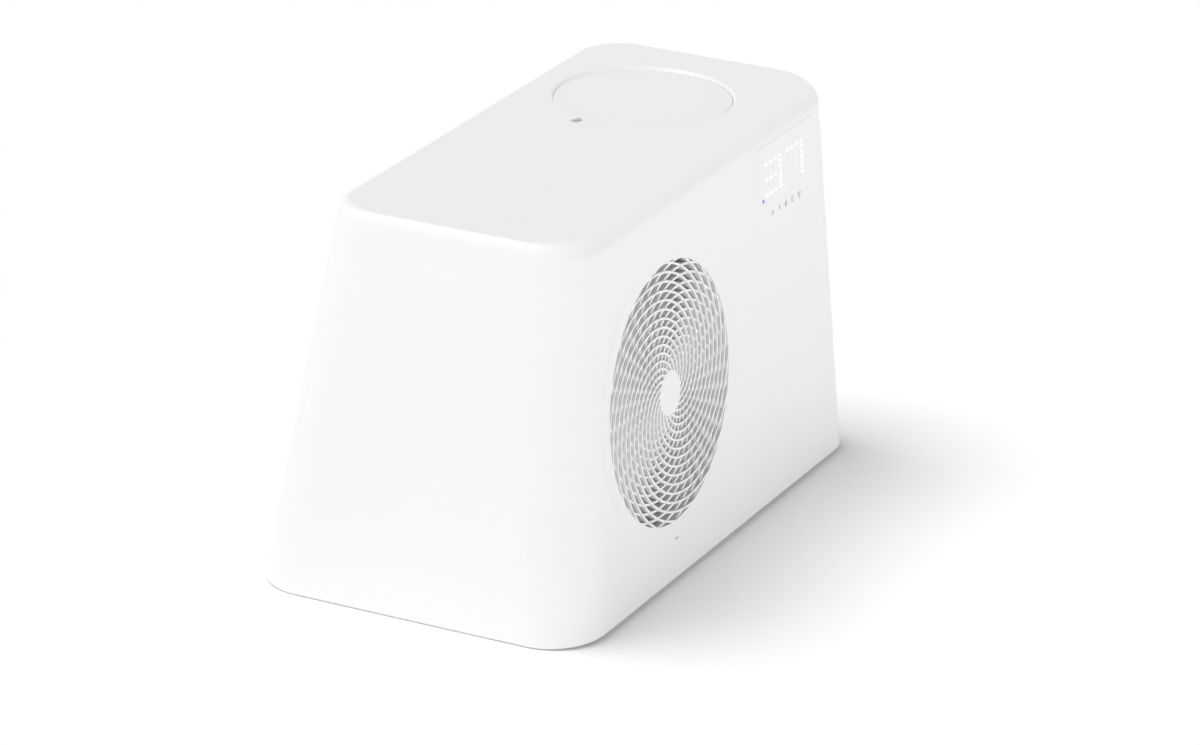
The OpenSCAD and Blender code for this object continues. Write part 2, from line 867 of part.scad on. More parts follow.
module drain_valve() {
    color("dimgray") on_plate(drain_at) {
        difference() {
            union() {
                cylinder(r = port_flange_r, h = port_flange_t);
                cylinder(r = valve_r, h = port_flange_t + valve_l);
                cylinder(r = valve_spout_r, h = port_flange_t + valve_l + valve_spout_l);
                translate([0, 0, -port_neck_l]) cylinder(r = port_neck_r, h = port_neck_l + port_flange_t / 2);
                translate([0, 0, port_flange_t + valve_l / 2]) rotate([-90, 0, 0])
                    cylinder(r = stem_r * 2, h = valve_r + cut);
                translate([0, 0, port_flange_t + valve_l / 2]) rotate([-90, 0, 0])
                    cylinder(r = stem_r, h = valve_r + stem_h);
            }
            translate([0, 0, -port_neck_l - cut])
                cylinder(r = valve_bore_r, h = port_neck_l + port_flange_t + valve_l + valve_spout_l + 2 * cut);
        }
        locknut();
    }
}

module drain_lever() {
    color("firebrick") on_plate(drain_at) translate([0, valve_r + cut + seat_gap, port_flange_t + valve_l / 2])
        rotate([-90, 0, 0]) difference() {
            union() {
                cylinder(r = lever_w, h = lever_t);
                translate([0, -lever_w / 2, 0]) cube([lever_l, lever_w, lever_t]);
                translate([lever_l, 0, 0]) cylinder(r = lever_w / 2, h = lever_t);
            }
            translate([0, 0, -cut]) cylinder(r = stem_r + run_gap, h = lever_t + 2 * cut);
        }
}

module power_inlet() {
    color("black") on_plate(power_at) {
        difference() {
            union() {
                linear_extrude(power_t) rrect(power_w, power_h, power_t);
                translate([0, 0, -power_body_d / 2 + power_t / 2])
                    cube([power_body_w, power_body_h, power_body_d + power_t], center = true);
            }
            translate([0, socket_y, power_t - socket_d / 2])
                cube([socket_w, socket_h, socket_d], center = true);
            translate([0, socket_y, power_t]) cube([socket_w, socket_h, power_t], center = true);
            translate([0, rocker_y, power_t - (rocker_d + rocker_pivot)])
                translate([-rocker_w / 2 - seat_gap, -rocker_h / 2 - rocker_room, 0])
                    cube([rocker_w + 2 * seat_gap, rocker_h + 2 * rocker_room, rocker_d + rocker_pivot + cut]);
        }
        for (x = [-1, 0, 1])
            translate([x * blade_gap - blade_w / 2, socket_y - blade_h / 2 + (x == 0 ? blade_h / 2 : 0), power_t - socket_d - cut])
                cube([blade_w, blade_h, blade_l + cut]);
    }
}

module power_rocker() {
    color("firebrick") on_plate(power_at) translate([-rocker_w / 2, rocker_y, power_t - rocker_pivot])
        rotate([-rocker_tilt, 0, 0]) rotate([90, 0, 90]) linear_extrude(rocker_w) polygon([
            [-rocker_h / 2, rocker_pivot - rocker_d], [rocker_h / 2, rocker_pivot - rocker_d],
            [rocker_h / 2, rocker_pivot + rocker_rise], [0, rocker_pivot - rocker_rise / 2],
            [-rocker_h / 2, rocker_pivot + rocker_rise]
        ]);
}

// Child placed on the fan's axis, its +Z towards the front, at a distance in front of the foot's middle
module at_fan(front) {
    translate([-grille_x, -front, fan_z]) rotate([90, 0, 0]) children();
}

module fan_shroud() {
    w = core_w + 2 * shroud_edge;
    h = core_h + 2 * shroud_edge;
    color("lightgray") difference() {
        union() {
            translate([-grille_x - w / 2, -shroud_front, fan_z - core_drop - h / 2])
                cube([w, shroud_front - core_front - seat_gap, h]);
            at_fan(shroud_front - cut) rotate_extrude() polygon([
                [fan_r + tip_gap, 0], [fan_r + tip_gap + ring_t, 0],
                [fan_r + tip_gap + ring_t, ring_front - shroud_front - 2 * ring_t],
                [fan_r + tip_gap + 3 * ring_t, ring_front - shroud_front + cut - ring_t / 2],
                [fan_r + tip_gap + 3 * ring_t, ring_front - shroud_front + cut],
                [fan_r + tip_gap + 2 * ring_t, ring_front - shroud_front + cut],
                [fan_r + tip_gap, ring_front - shroud_front - ring_t]
            ]);
        }
        translate([-grille_x - w / 2 + shroud_t, -shroud_front + shroud_t, fan_z - core_drop - h / 2 + shroud_t])
            cube([w - 2 * shroud_t, shroud_front, h - 2 * shroud_t]);
        at_fan(shroud_front - shroud_t - cut) cylinder(r = fan_r + tip_gap, h = shroud_t + 2 * cut);
        translate([-grille_x + w / 2 - shroud_t - cut, -wire_y, wire_z]) rotate([0, 90, 0])
            cylinder(r = 2 * lead_r, h = shroud_t + 2 * cut, $fn = 32);
    }
}

module fan_bracket() {
    color("gray") at_fan(shroud_front - shroud_t) mirror([0, 0, 1]) {
        linear_extrude(arm_w) annulus(motor_r + arm_t, motor_r + run_gap);
        for (k = [0:arms_n - 1]) rotate([0, 0, 360 / arms_n * (k + 0.5)])
            translate([motor_r + arm_t / 2, -arm_w / 2, 0]) cube([arm_reach - motor_r, arm_w, arm_t]);
    }
}

module fan_motor() {
    color("silver") at_fan(motor_front) mirror([0, 0, 1]) difference() {
        union() {
            translate([0, 0, motor_l / 8]) cylinder(r = motor_r, h = motor_l * 3 / 4);
            cylinder(r = motor_r * 0.9, h = motor_l);
            translate([0, 0, -arm_t]) cylinder(r = 3 * shaft_r, h = arm_t + cut);
        }
        translate([0, 0, -arm_t - cut]) cylinder(r = shaft_r + run_gap, h = shaft_in + arm_t + cut);
    }
}

// Blade seen along the fan's axis: it widens and sweeps towards its round tip
module blade_outline() {
    r0 = fan_hub_r - hub_wall / 2;
    intersection() {
        polygon([
            for (s = [-1, 1]) for (i = [0:blade_steps]) let (
                    t = s < 0 ? i / blade_steps : 1 - i / blade_steps,
                    r = mix(r0, fan_r + cut, t)
                )
                polar(r, blade_sweep * t * t + s * mix(root_half, tip_half, t) / r * 180 / PI)
        ]);
        circle(r = fan_r);
    }
}
// Blade: the outline cut from a tilted thin-walled cylinder, which gives it pitch and camber
module fan_blade() {
    intersection() {
        translate([0, 0, -fan_hub_l]) linear_extrude(2 * fan_hub_l) blade_outline();
        rotate([-blade_pitch, 0, 0]) translate([0, 0, -blade_bow]) rotate([0, 90, 0]) difference() {
            cylinder(r = blade_bow + blade_t / 2, h = fan_r + cut);
            translate([0, 0, -cut]) cylinder(r = blade_bow - blade_t / 2, h = fan_r + 3 * cut);
        }
    }
}

module fan_rotor() {
    color("lightgray") at_fan(hub_front) {
        mirror([0, 0, 1]) difference() {
            union() {
                cylinder(r = fan_hub_r, h = fan_hub_l);
                cylinder(r = shaft_r, h = hub_front - motor_front + shaft_in - seat_gap);
            }
            difference() {
                translate([0, 0, hub_wall]) cylinder(r = fan_hub_r - hub_wall, h = fan_hub_l);
                cylinder(r = 3 * shaft_r, h = fan_hub_l);
                cylinder(r = shaft_r, h = 2 * fan_hub_l);
            }
        }
        translate([0, 0, -fan_hub_l * blade_mid_share]) for (k = [0:blades - 1]) rotate([0, 0, 360 * k / blades])
            fan_blade();
    }
}

// Child placed with its +X and +Y across and up the condenser, and its +Z to the right
module across(x, y, z) {
    translate([x, y, z]) rotate([90, 0, 90]) children();
}
module run_holes(r) {
    for (k = [0:runs - 1]) translate([core_d / 2, (k + 0.5) * run_pitch]) circle(r = r, $fn = 32);
}

module condenser_fins() {
    color("silver") for (k = [0:fins - 1])
        across(-grille_x - core_w / 2 + (k + 0.5) * core_w / fins - fin_t / 2, -core_front, core_z)
            linear_extrude(fin_t) difference() {
                square([core_d, core_h]);
                run_holes(tube_r + run_gap);
            }
}

module condenser_plates() {
    color("gray") for (s = [-1, 1])
        across(-grille_x + s * (core_w / 2 + end_off) - end_t / 2, -core_front, tray_top) difference() {
            linear_extrude(end_t) square([core_d, core_z + core_h - tray_top + end_off]);
            translate([0, core_z - tray_top, -cut]) linear_extrude(end_t + 2 * cut) run_holes(tube_r + run_gap);
        }
}

module condenser_tubes() {
    x0 = -grille_x - core_w / 2 - bend_off;
    l = core_w + 2 * bend_off;
    color("peru") {
        for (k = [0:runs - 1]) let (stub = k == 0 || k == runs - 1 ? stub_l : 0)
            across(x0 - stub, -core_front + core_d / 2, core_z + (k + 0.5) * run_pitch)
                cylinder(r = tube_r, h = l + stub);
        for (k = [0:2:runs - 2])
            translate([x0 + l, -core_front + core_d / 2, core_z + (k + 1) * run_pitch]) rotate([90, 0, 0])
                rotate([0, 0, -90]) rotate_extrude(angle = 180) translate([run_pitch / 2, 0]) circle(r = tube_r);
        for (k = [1:2:runs - 3])
            translate([x0, -core_front + core_d / 2, core_z + (k + 1) * run_pitch]) rotate([90, 0, 0])
                rotate([0, 0, 90]) rotate_extrude(angle = 180) translate([run_pitch / 2, 0]) circle(r = tube_r);
    }
}

// Side of a domed can: dome, wall, dome
function can(r, h, d) = concat(
    [[0, 0]],
    [for (k = [0:dome_steps]) let (q = 90 * k / dome_steps) [r * sin(q), d * (1 - cos(q))]],
    [for (k = [dome_steps:-1:0]) let (q = 90 * k / dome_steps) [r * sin(q), h - d * (1 - cos(q))]]
);

module compressor() {
    color("black") translate([comp_x, comp_y, comp_z]) {
        rotate_extrude() polygon(can(comp_r - seam_w, comp_h, dome_h));
        translate([0, 0, comp_h / 2 - seam_h]) cylinder(r = comp_r, h = 2 * seam_h);
        translate([0, 0, discharge_z - comp_z]) rotate([0, -90, 0]) cylinder(r = line_r * 1.5, h = comp_r + comp_stub);
        translate([0, 0, suction_z - comp_z]) rotate([0, 90, 0]) cylinder(r = line_r * 1.5, h = comp_r + comp_stub);
        difference() {
            translate([0, 0, -comp_plate_t]) linear_extrude(comp_plate_t + dome_h / 8)
                rrect(comp_plate, comp_plate, comp_plate_r);
            for (x = [-1, 1], y = [-1, 1])
                translate([x * (comp_plate / 2 - mount_in), y * (comp_plate / 2 - mount_in), -comp_plate_t - cut])
                    cylinder(r = comp_bolt_r + seat_gap, h = comp_plate_t + dome_h);
        }
    }
}

module on_mounts() {
    for (x = [-1, 1], y = [-1, 1])
        translate([comp_x + x * (comp_plate / 2 - mount_in), comp_y + y * (comp_plate / 2 - mount_in), tray_top])
            children();
}
module compressor_mounts() {
    color("dimgray") on_mounts() rotate_extrude() polygon([
        [mount_bore, 0], [mount_r, 0], [mount_r * 0.8, mount_h / 2], [mount_r, mount_h], [mount_bore, mount_h]
    ]);
}

module terminal_cover() {
    color("black")
        translate([comp_x - cover_w / 2, comp_y - comp_r - seat_gap - cover_d, comp_z + comp_h / 2 - cover_w / 2])
            difference() {
                cube([cover_w, cover_d, cover_w]);
                translate([cover_w / 2, cover_d / 2, -cut]) cylinder(r = lead_r + seat_gap, h = cover_w / 3, $fn = 24);
            }
}

module accumulator() {
    color("black") translate([acc_x, acc_y, acc_z]) rotate_extrude() polygon(can(acc_r, acc_h, acc_dome));
    // Strap that stands the accumulator on the tray
    color("black") translate([acc_x - acc_foot_t / 2, acc_y - acc_r / 2, tray_top])
        cube([acc_foot_t, acc_r, acc_z - tray_top + acc_dome]);
}

module filter_drier() {
    color("peru") translate([drier_x, drier_y, drier_z]) rotate_extrude() polygon([
        [0, 0], [line_r * 1.5, 0], [drier_r, drier_cone], [drier_r, drier_h - drier_cone],
        [line_r * 1.5, drier_h], [0, drier_h]
    ]);
}

module heat_exchanger() {
    color("gainsboro") translate([hx_x, hx_y, hx_z]) {
        cylinder(r = hx_r - hx_cap_w, h = hx_h);
        cylinder(r = hx_r, h = hx_cap_h);
        translate([0, 0, hx_h - hx_cap_h]) cylinder(r = hx_r, h = hx_cap_h);
        cylinder(r = hx_port_r, h = hx_h + hx_port_l);
        translate([0, 0, hx_port_z - hx_z]) rotate([0, 90, 0]) cylinder(r = hx_port_r, h = hx_r + hx_port_l / 2);
        for (p = [[0, gas_in_z], [180, gas_out_z]])
            translate([0, 0, p.y - hx_z]) rotate([0, 90, p.x]) cylinder(r = line_r * 1.5, h = hx_r + comp_stub);
    }
}

module exchanger_bands() {
    color("silver") translate([hx_x, hx_y, tray_top]) {
        for (z = [hx_z - tray_top + hx_cap_h + band_w, hx_z - tray_top + hx_h - hx_cap_h - 3 * band_w])
            translate([0, 0, z]) linear_extrude(band_w) annulus(hx_r - hx_cap_w + run_gap + band_t, hx_r - hx_cap_w + run_gap);
        // Stand under the shell
        cylinder(r = hx_r - hx_cap_w, h = hx_z - tray_top);
    }
}

module refrigerant_pipes() {
    hot_z = core_z + (runs - 0.5) * run_pitch;
    cold_z = core_z + 0.5 * run_pitch;
    core_y = -core_front + core_d / 2;
    end_at = -grille_x - core_w / 2 - bend_off - stub_l - seat_gap;
    stub = comp_stub + seat_gap;
    color("peru") {
        tube(rounded_path([
            [comp_x - comp_r - stub, comp_y, discharge_z], [discharge_x, comp_y, discharge_z],
            [discharge_x, comp_y, hot_z], [discharge_x, core_y, hot_z], [end_at, core_y, hot_z]
        ], line_bend), line_r, 8);
        tube(rounded_path([
            [end_at, core_y, cold_z], [discharge_x, core_y, cold_z], [discharge_x, liquid_y, cold_z],
            [drier_x, liquid_y, cold_z], [drier_x, drier_y, cold_z], [drier_x, drier_y, drier_z - seat_gap]
        ], line_bend), line_r, 8);
        tube(rounded_path([
            [drier_x, drier_y, drier_z + drier_h + seat_gap], [drier_x, drier_y, gas_in_z],
            [drier_x, hx_y, gas_in_z], [hx_x + hx_r + stub, hx_y, gas_in_z]
        ], line_bend), line_r, 8);
        tube(rounded_path([
            [hx_x - hx_r - stub, hx_y, gas_out_z], [acc_x, hx_y, gas_out_z],
            [acc_x, acc_y, gas_out_z], [acc_x, acc_y, acc_z + acc_h + seat_gap]
        ], line_bend), line_r, 8);
        tube(rounded_path([
            [acc_x + acc_r / 2, acc_y, acc_z + seat_gap], [acc_x + acc_r / 2, acc_y, suction_z],
            [acc_x + acc_r / 2, comp_y, suction_z], [comp_x + comp_r + stub, comp_y, suction_z]
        ], line_r * 2), line_r, 8);
    }
}

module filter_housing() {
    color("white") translate([lid_x, -lid_y, bowl_top - bowl_h]) difference() {
        union() {
            cylinder(r = bowl_r, h = bowl_h);
            translate([0, 0, bowl_h - bowl_flange_t]) cylinder(r = bowl_r + bowl_flange_w, h = bowl_flange_t);
            for (k = [0:bowl_ribs - 1]) rotate([0, 0, 360 * (k + 0.5) / bowl_ribs])
                translate([bowl_r - bowl_wall / 2, -bowl_rib_w / 2, bowl_h / 8])
                    cube([bowl_wall / 2 + bowl_rib_d, bowl_rib_w, bowl_h / 2]);
            translate([0, 0, bowl_port_z - bowl_top + bowl_h]) rotate([-90, 0, 0])
                cylinder(r = bowl_port_r, h = bowl_r + bowl_port_l);
            translate([0, 0, -bowl_port_l]) cylinder(r = bowl_port_r, h = bowl_port_l + bowl_floor / 2);
        }
        translate([0, 0, bowl_floor]) cylinder(r = bowl_r - bowl_wall, h = bowl_h);
        translate([0, 0, bowl_port_z - bowl_top + bowl_h]) rotate([-90, 0, 0])
            cylinder(r = port_bore_r, h = bowl_r + bowl_port_l + cut);
        translate([0, 0, -bowl_port_l - cut]) cylinder(r = port_bore_r, h = bowl_port_l + bowl_floor + 2 * cut);
    }
}

module filter_bracket() {
    color("gray") translate([lid_x, -lid_y, tray_top]) {
        translate([0, 0, bowl_top - bowl_h - tray_top - stand_t]) linear_extrude(stand_t)
            annulus(stand_r, stand_bore);
        for (k = [0:arms_n - 1]) rotate([0, 0, 360 / arms_n * (k + 0.5)])
            translate([(stand_r + stand_bore) / 2, 0, 0]) cylinder(r = post_r, h = bowl_top - bowl_h - tray_top);
    }
}

module filter_cartridge() {
    color("lightyellow") translate([lid_x, -lid_y, bowl_top - bowl_h + bowl_floor + cart_gap]) difference() {
        union() {
            translate([0, 0, cart_cap_h / 2]) linear_extrude(cart_h - cart_cap_h) polygon([
                for (k = [0:2 * pleats - 1])
                    polar(cart_r - (k % 2 == 0 ? 0 : pleat_d), 180 * k / pleats)
            ]);
            for (z = [0, cart_h - cart_cap_h]) translate([0, 0, z]) cylinder(r = cart_r + cart_cap_w, h = cart_cap_h);
        }
        translate([0, 0, -cut]) cylinder(r = cart_core_r, h = cart_h + 2 * cut);
    }
}

module filter_cap() {
    color("dimgray") translate([lid_x, -lid_y, bowl_top + seat_gap]) {
        cylinder(r = bowl_r + bowl_flange_w, h = cap_t);
        translate([0, 0, -cap_plug]) linear_extrude(cap_plug + cap_t / 2)
            annulus(bowl_r - bowl_wall - seat_gap, bowl_r - 2 * bowl_wall);
        translate([-cap_bar_l / 2, -cap_bar_w / 2, cap_t / 2]) cube([cap_bar_l, cap_bar_w, cap_bar_h + cap_t / 2]);
        for (k = [0:cap_ribs - 1]) rotate([0, 0, 360 * k / cap_ribs])
            translate([bowl_r + bowl_flange_w, 0, 0]) cylinder(r = cap_rib_r, h = cap_t, $fn = 16);
    }
}

// Child placed on the pump's axis, its +Z towards the rear, its +Y down
module at_pump(front) {
    translate([pump_x, -front, pump_z]) rotate([-90, 0, 0]) children();
}

module pump_body() {
    color("black") at_pump(pump_front) difference() {
        union() {
            cylinder(r = pump_r, h = pump_l);
            translate([0, 0, -pump_port_l]) cylinder(r = pump_port_r, h = pump_port_l + cut);
            translate([0, 0, pump_l / 2]) rotate([90, 0, 0]) cylinder(r = pump_port_r, h = pump_r + pump_port_l);
        }
        translate([0, 0, pump_wall]) cylinder(r = pump_r - pump_wall, h = pump_l - 2 * pump_wall);
        translate([0, 0, -pump_port_l - cut]) cylinder(r = port_bore_r, h = pump_port_l + pump_wall + 2 * cut);
        translate([0, 0, pump_l / 2]) rotate([90, 0, 0]) cylinder(r = port_bore_r, h = pump_r + pump_port_l + cut);
        translate([0, 0, pump_l - pump_wall - cut]) cylinder(r = shaft_r + run_gap, h = pump_wall + 2 * cut);
    }
}

module pump_motor() {
    color("steelblue") at_pump(pump_front - pump_l) difference() {
        union() {
            cylinder(r = pump_motor_r - pump_fin_d, h = pump_motor_l);
            for (k = [0:pump_fins - 1]) rotate([0, 0, 360 * k / pump_fins])
                translate([0, -pump_fin_d / 2, pump_motor_l / 10])
                    cube([pump_motor_r, pump_fin_d, pump_motor_l * 3 / 4]);
        }
        translate([0, 0, -cut]) cylinder(r = shaft_r + run_gap, h = shaft_in + cut);
    }
}

module pump_impeller() {
    color("ivory") at_pump(pump_front - pump_wall - vane_t) {
        cylinder(r = impeller_r, h = impeller_t);
        cylinder(r = 2 * shaft_r, h = impeller_t + vane_h);
        translate([0, 0, impeller_t]) cylinder(r = shaft_r, h = pump_l - pump_wall - vane_t - impeller_t + shaft_in - seat_gap);
        for (k = [0:vanes_n - 1]) rotate([0, 0, 360 * k / vanes_n])
            translate([shaft_r, -vane_t / 2, impeller_t / 2]) cube([impeller_r - shaft_r - cut, vane_t, vane_h + impeller_t / 2]);
    }
}

module pump_bracket() {
    color("gray") {
        translate([pump_x - pump_foot_w / 2, -pump_front + pump_l + pump_foot_t, tray_top])
            cube([pump_foot_w, pump_foot_l, pump_foot_t]);
        for (y = [pump_foot_t, pump_foot_l - 2 * pump_foot_t])
            translate([pump_x, -pump_front + pump_l + pump_foot_t + y, tray_top]) difference() {
                translate([-pump_foot_w / 2, 0, 0]) cube([pump_foot_w, pump_foot_t, pump_z - tray_top]);
                translate([0, -cut, pump_z - tray_top]) rotate([-90, 0, 0])
                    cylinder(r = pump_motor_r + seat_gap, h = pump_foot_t + 2 * cut);
            }
    }
}

// Point seen from the port plate's outer face: across, up and out
function plate_point(at, out) = let (z = out + plate_t - plate_depth) [
    plate_x - at.x,
    back_y(plate_z) - at.y * sin(back_lean) + z * cos(back_lean),
    foot_z + plate_z + at.y * cos(back_lean) + z * sin(back_lean)
];
// Length of way from a fitting's inner end to a plane across the casing
function to_lane(at, y) = (plate_point(at, 0).y - y) / cos(back_lean);

module water_hoses() {
    end = port_neck_l + seat_gap;
    color("whitesmoke") {
        // Inlet fitting to filter
        tube(rounded_path([
            plate_point(inlet_at, -end), plate_point(inlet_at, -to_lane(inlet_at, inlet_lane_y)),
            [plate_x - inlet_at.x, inlet_lane_y, bowl_port_z], [lid_x, inlet_lane_y, bowl_port_z],
            [lid_x, -lid_y + bowl_r + bowl_port_l + seat_gap, bowl_port_z]
        ], hose_bend), hose_r);
        // Filter to pump
        tube(rounded_path([
            [lid_x, -lid_y, bowl_top - bowl_h - bowl_port_l - seat_gap], [lid_x, -lid_y, pump_z],
            [lid_x, -hose_front, pump_z], [pump_x, -hose_front, pump_z],
            [pump_x, -pump_front - pump_port_l - seat_gap, pump_z]
        ], hose_bend), hose_r);
        // Pump to heat exchanger
        tube(rounded_path([
            [pump_x, -pump_front + pump_l / 2, pump_z + pump_r + pump_port_l + seat_gap],
            [pump_x, -pump_front + pump_l / 2, hx_port_z], [hose_mid_x, -pump_front + pump_l / 2, hx_port_z],
            [hose_mid_x, hx_y, hx_port_z], [hx_x + hx_r + hx_port_l / 2 + seat_gap, hx_y, hx_port_z]
        ], hose_r + cut), hose_r);
        // Heat exchanger to outlet fitting
        tube(rounded_path([
            [hx_x, hx_y, hx_z + hx_h + hx_port_l + seat_gap], [hx_x, hx_y, hose_high],
            [plate_x - outlet_at.x, hx_y, hose_high], plate_point(outlet_at, -to_lane(outlet_at, hx_y)),
            plate_point(outlet_at, -end)
        ], hose_bend), hose_r);
        // Drain branch
        tube(rounded_path([
            plate_point(drain_at, -end), plate_point(drain_at, -to_lane(drain_at, drain_lane)),
            [drain_turn_x, -box_front, pump_z], [lid_x + hose_r + seat_gap, -box_front, pump_z]
        ], hose_bend), drain_hose_r);
    }
}

module control_box() {
    color("gainsboro") {
        translate([box_x - box_w / 2, -box_front, box_z]) difference() {
            cube([box_w, box_d, box_h]);
            translate([box_cover_t, box_cover_t, box_cover_t])
                cube([box_w - 2 * box_cover_t, box_d - 2 * box_cover_t, box_h]);
        }
        // Bracket that stands the box on the tray behind the pump
        translate([box_x - box_w / 2, -box_front + box_d - cut, tray_top]) cube([box_w, bracket_t + cut, box_z + box_h - tray_top]);
    }
}

module control_cover() {
    color("gainsboro") translate([box_x - box_w / 2, -box_front, box_z + box_h]) {
        cube([box_w, box_d, box_cover_t]);
    }
}

module wiring() {
    color("black") {
        // To the display
        tube(rounded_path([
            [box_x, -box_front - seat_gap, box_z + box_h * 0.8], [box_x, -hose_mid_y, box_z + box_h * 0.8],
            [window_x + window_w / 3, -hose_mid_y, foot_z + window_z - window_h / 3],
            [window_x + window_w / 3, front_y(window_z - window_h / 3) + pad_back + pcb_t + wall, foot_z + window_z - window_h / 3]
        ], lead_bend), lead_r, 8);
        // To the fan motor
        tube(rounded_path([
            [box_x - box_w / 2 - seat_gap, -box_front / 2, wire_z], [box_x - box_w / 2 - 4 * lead_r, -box_front / 2, wire_z],
            [box_x - box_w / 2 - 4 * lead_r, -wire_y, wire_z], [wire_turn_x, -wire_y, wire_z],
            [-grille_x + 2 * motor_r, -wire_y, fan_z], [-grille_x + motor_r + seat_gap, -wire_y, fan_z]
        ], lead_bend), lead_r, 8);
        // To the pump motor
        tube([[pump_x, -box_front / 2, box_z - seat_gap], [pump_x, -box_front / 2, pump_z + pump_motor_r + seat_gap]], lead_r, 8);
        // From the power inlet
        tube(rounded_path([
            plate_point(power_at, -power_body_d - seat_gap), plate_point(power_at, -power_body_d - 2 * plate_r),
            [box_x - box_w / 2 + 2 * lead_r, inlet_lane_y - plate_r, wire_z],
            [box_x - box_w / 2 + 2 * lead_r, -box_front + box_d + bracket_t + seat_gap, wire_z]
        ], lead_bend), lead_r, 8);
    }
}

casing();
fan_grille();
grille_core();
grille_screws();
display_window();
display_board();
top_lid();
lid_seal();
base_tray();
base_screws();
rubber_feet();
intake_screen();
port_plate();
water_inlet();
water_outlet();
drain_valve();
drain_lever();
power_inlet();
power_rocker();
fan_shroud();
fan_bracket();
fan_motor();
fan_rotor();
condenser_fins();
condenser_tubes();
condenser_plates();
compressor();
compressor_mounts();
terminal_cover();
accumulator();
filter_drier();
heat_exchanger();
exchanger_bands();
refrigerant_pipes();
filter_housing();
filter_bracket();
filter_cartridge();
filter_cap();
pump_body();
pump_motor();
pump_impeller();
pump_bracket();
water_hoses();
control_box();
control_cover();
wiring();
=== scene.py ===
# %% [markdown]
# # A white ice bath chiller, dressed in Blender
#
# The solids of the chiller come from its CAD frame: casing, spiral grille, lid, fan, pump and pipes are
# already in place. This script gives each of them the surface of the real material, adds the small things
# that a solid model leaves out, such as lit dots, printed marks, screw heads and hose clamps, and then
# builds a small photo studio round the whole object.

# %% Load the frame
import bpy, bmesh, json, math
from mathutils import Matrix, Vector


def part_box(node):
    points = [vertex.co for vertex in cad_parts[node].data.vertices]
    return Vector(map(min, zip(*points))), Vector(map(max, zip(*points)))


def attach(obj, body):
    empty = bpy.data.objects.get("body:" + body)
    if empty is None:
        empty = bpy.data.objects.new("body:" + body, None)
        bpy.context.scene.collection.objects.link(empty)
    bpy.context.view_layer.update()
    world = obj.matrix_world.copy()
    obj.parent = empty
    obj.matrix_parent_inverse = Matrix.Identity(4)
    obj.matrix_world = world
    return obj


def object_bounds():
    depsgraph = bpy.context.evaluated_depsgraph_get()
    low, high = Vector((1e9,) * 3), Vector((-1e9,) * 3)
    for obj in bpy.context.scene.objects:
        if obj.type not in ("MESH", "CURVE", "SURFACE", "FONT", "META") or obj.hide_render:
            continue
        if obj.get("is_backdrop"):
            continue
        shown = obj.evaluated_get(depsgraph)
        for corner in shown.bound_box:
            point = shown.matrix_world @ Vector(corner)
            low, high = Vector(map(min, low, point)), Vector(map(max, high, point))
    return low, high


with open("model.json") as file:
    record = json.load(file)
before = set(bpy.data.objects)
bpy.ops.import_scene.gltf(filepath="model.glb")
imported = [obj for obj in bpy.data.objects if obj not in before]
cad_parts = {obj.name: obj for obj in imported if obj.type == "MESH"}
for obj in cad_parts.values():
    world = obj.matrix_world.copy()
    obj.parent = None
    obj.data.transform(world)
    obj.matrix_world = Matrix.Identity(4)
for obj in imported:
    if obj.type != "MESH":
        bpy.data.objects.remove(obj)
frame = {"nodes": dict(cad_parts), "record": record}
cad_box = [list(corner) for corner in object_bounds()]
NODES = frame["nodes"]

# %% [markdown]
# ## Sizes
#
# Blender works in metres here, while a designer thinks in millimetres. One factor keeps the numbers below
# readable. The leaning front and rear faces get a frame of their own, made of a middle point and three
# directions, so that a mark or a screw can be placed on a tilted face by simple flat measures.

# %% Units and tilted faces
MM = 0.001
FOOT, HEIGHT = 5 * MM, 408 * MM
DEPTH, TOP_DEPTH, TOP_SHIFT = 380 * MM, 277 * MM, 19.6 * MM
FRONT_LEAN = math.atan(((DEPTH - TOP_DEPTH) / 2 - TOP_SHIFT) / HEIGHT)
BACK_LEAN = math.atan(((DEPTH - TOP_DEPTH) / 2 + TOP_SHIFT) / HEIGHT)


def face_frame(x, z, lean, side):
    """Place on the front (side -1) or rear (side 1) face, z above the foot: local X across, Y up, Z out."""
    y = side * (DEPTH / 2 - math.tan(lean) * z)
    out = Vector((0, side * math.cos(lean), math.sin(lean)))
    up = Vector((0, -side * math.sin(lean), math.cos(lean)))
    across = up.cross(out)
    turn = Matrix((across, up, out)).transposed().to_4x4()
    return Matrix.Translation((x, y, FOOT + z)) @ turn


leans = [round(math.degrees(lean), 2) for lean in (FRONT_LEAN, BACK_LEAN)]
print("lean of the front and the rear face in degrees:", leans)

# %% [markdown]
# ## Colour
#
# Colours are written as the hex values that a picture editor shows. Blender's shaders want linear light, so
# one function does the conversion for every colour in the file.

# %% Colour conversion
def linear(code, alpha=1.0):
    """An sRGB hex value as linear red, green, blue and alpha."""
    channels = [int(code[i:i + 2], 16) / 255 for i in (0, 2, 4)]
    low_end, toe, offset, power = 0.04045, 12.92, 0.055, 2.4
    light = [c / toe if c <= low_end else ((c + offset) / (1 + offset)) ** power for c in channels]
    return tuple(light) + (alpha,)


print("mid grey 808080 is", round(linear("808080")[0], 3), "in linear light")

# %% [markdown]
# ## Building materials from nodes
#
# A material is a small graph. The function below adds one node, sets its fields and its sockets, and
# connects it, so that each material reads as a short list of steps. Values that are the same all over a
# surface are set straight on the shader's own sockets.

# %% Node helper
def add(tree, kind, links=None, **settings):
    """Add one node. A setting named after a socket sets that socket, any other sets the node itself."""
    node = tree.nodes.new("ShaderNode" + kind)
    for name, value in settings.items():
        key = name.replace("_", " ")
        sockets = {s.name.lower(): s for s in reversed(node.inputs)}
        if hasattr(node, name) and key not in sockets:
            setattr(node, name, value)
        else:
            sockets[key].default_value = value
    for socket, source in (links or {}).items():
        tree.links.new(source, node.inputs[socket])
    return node


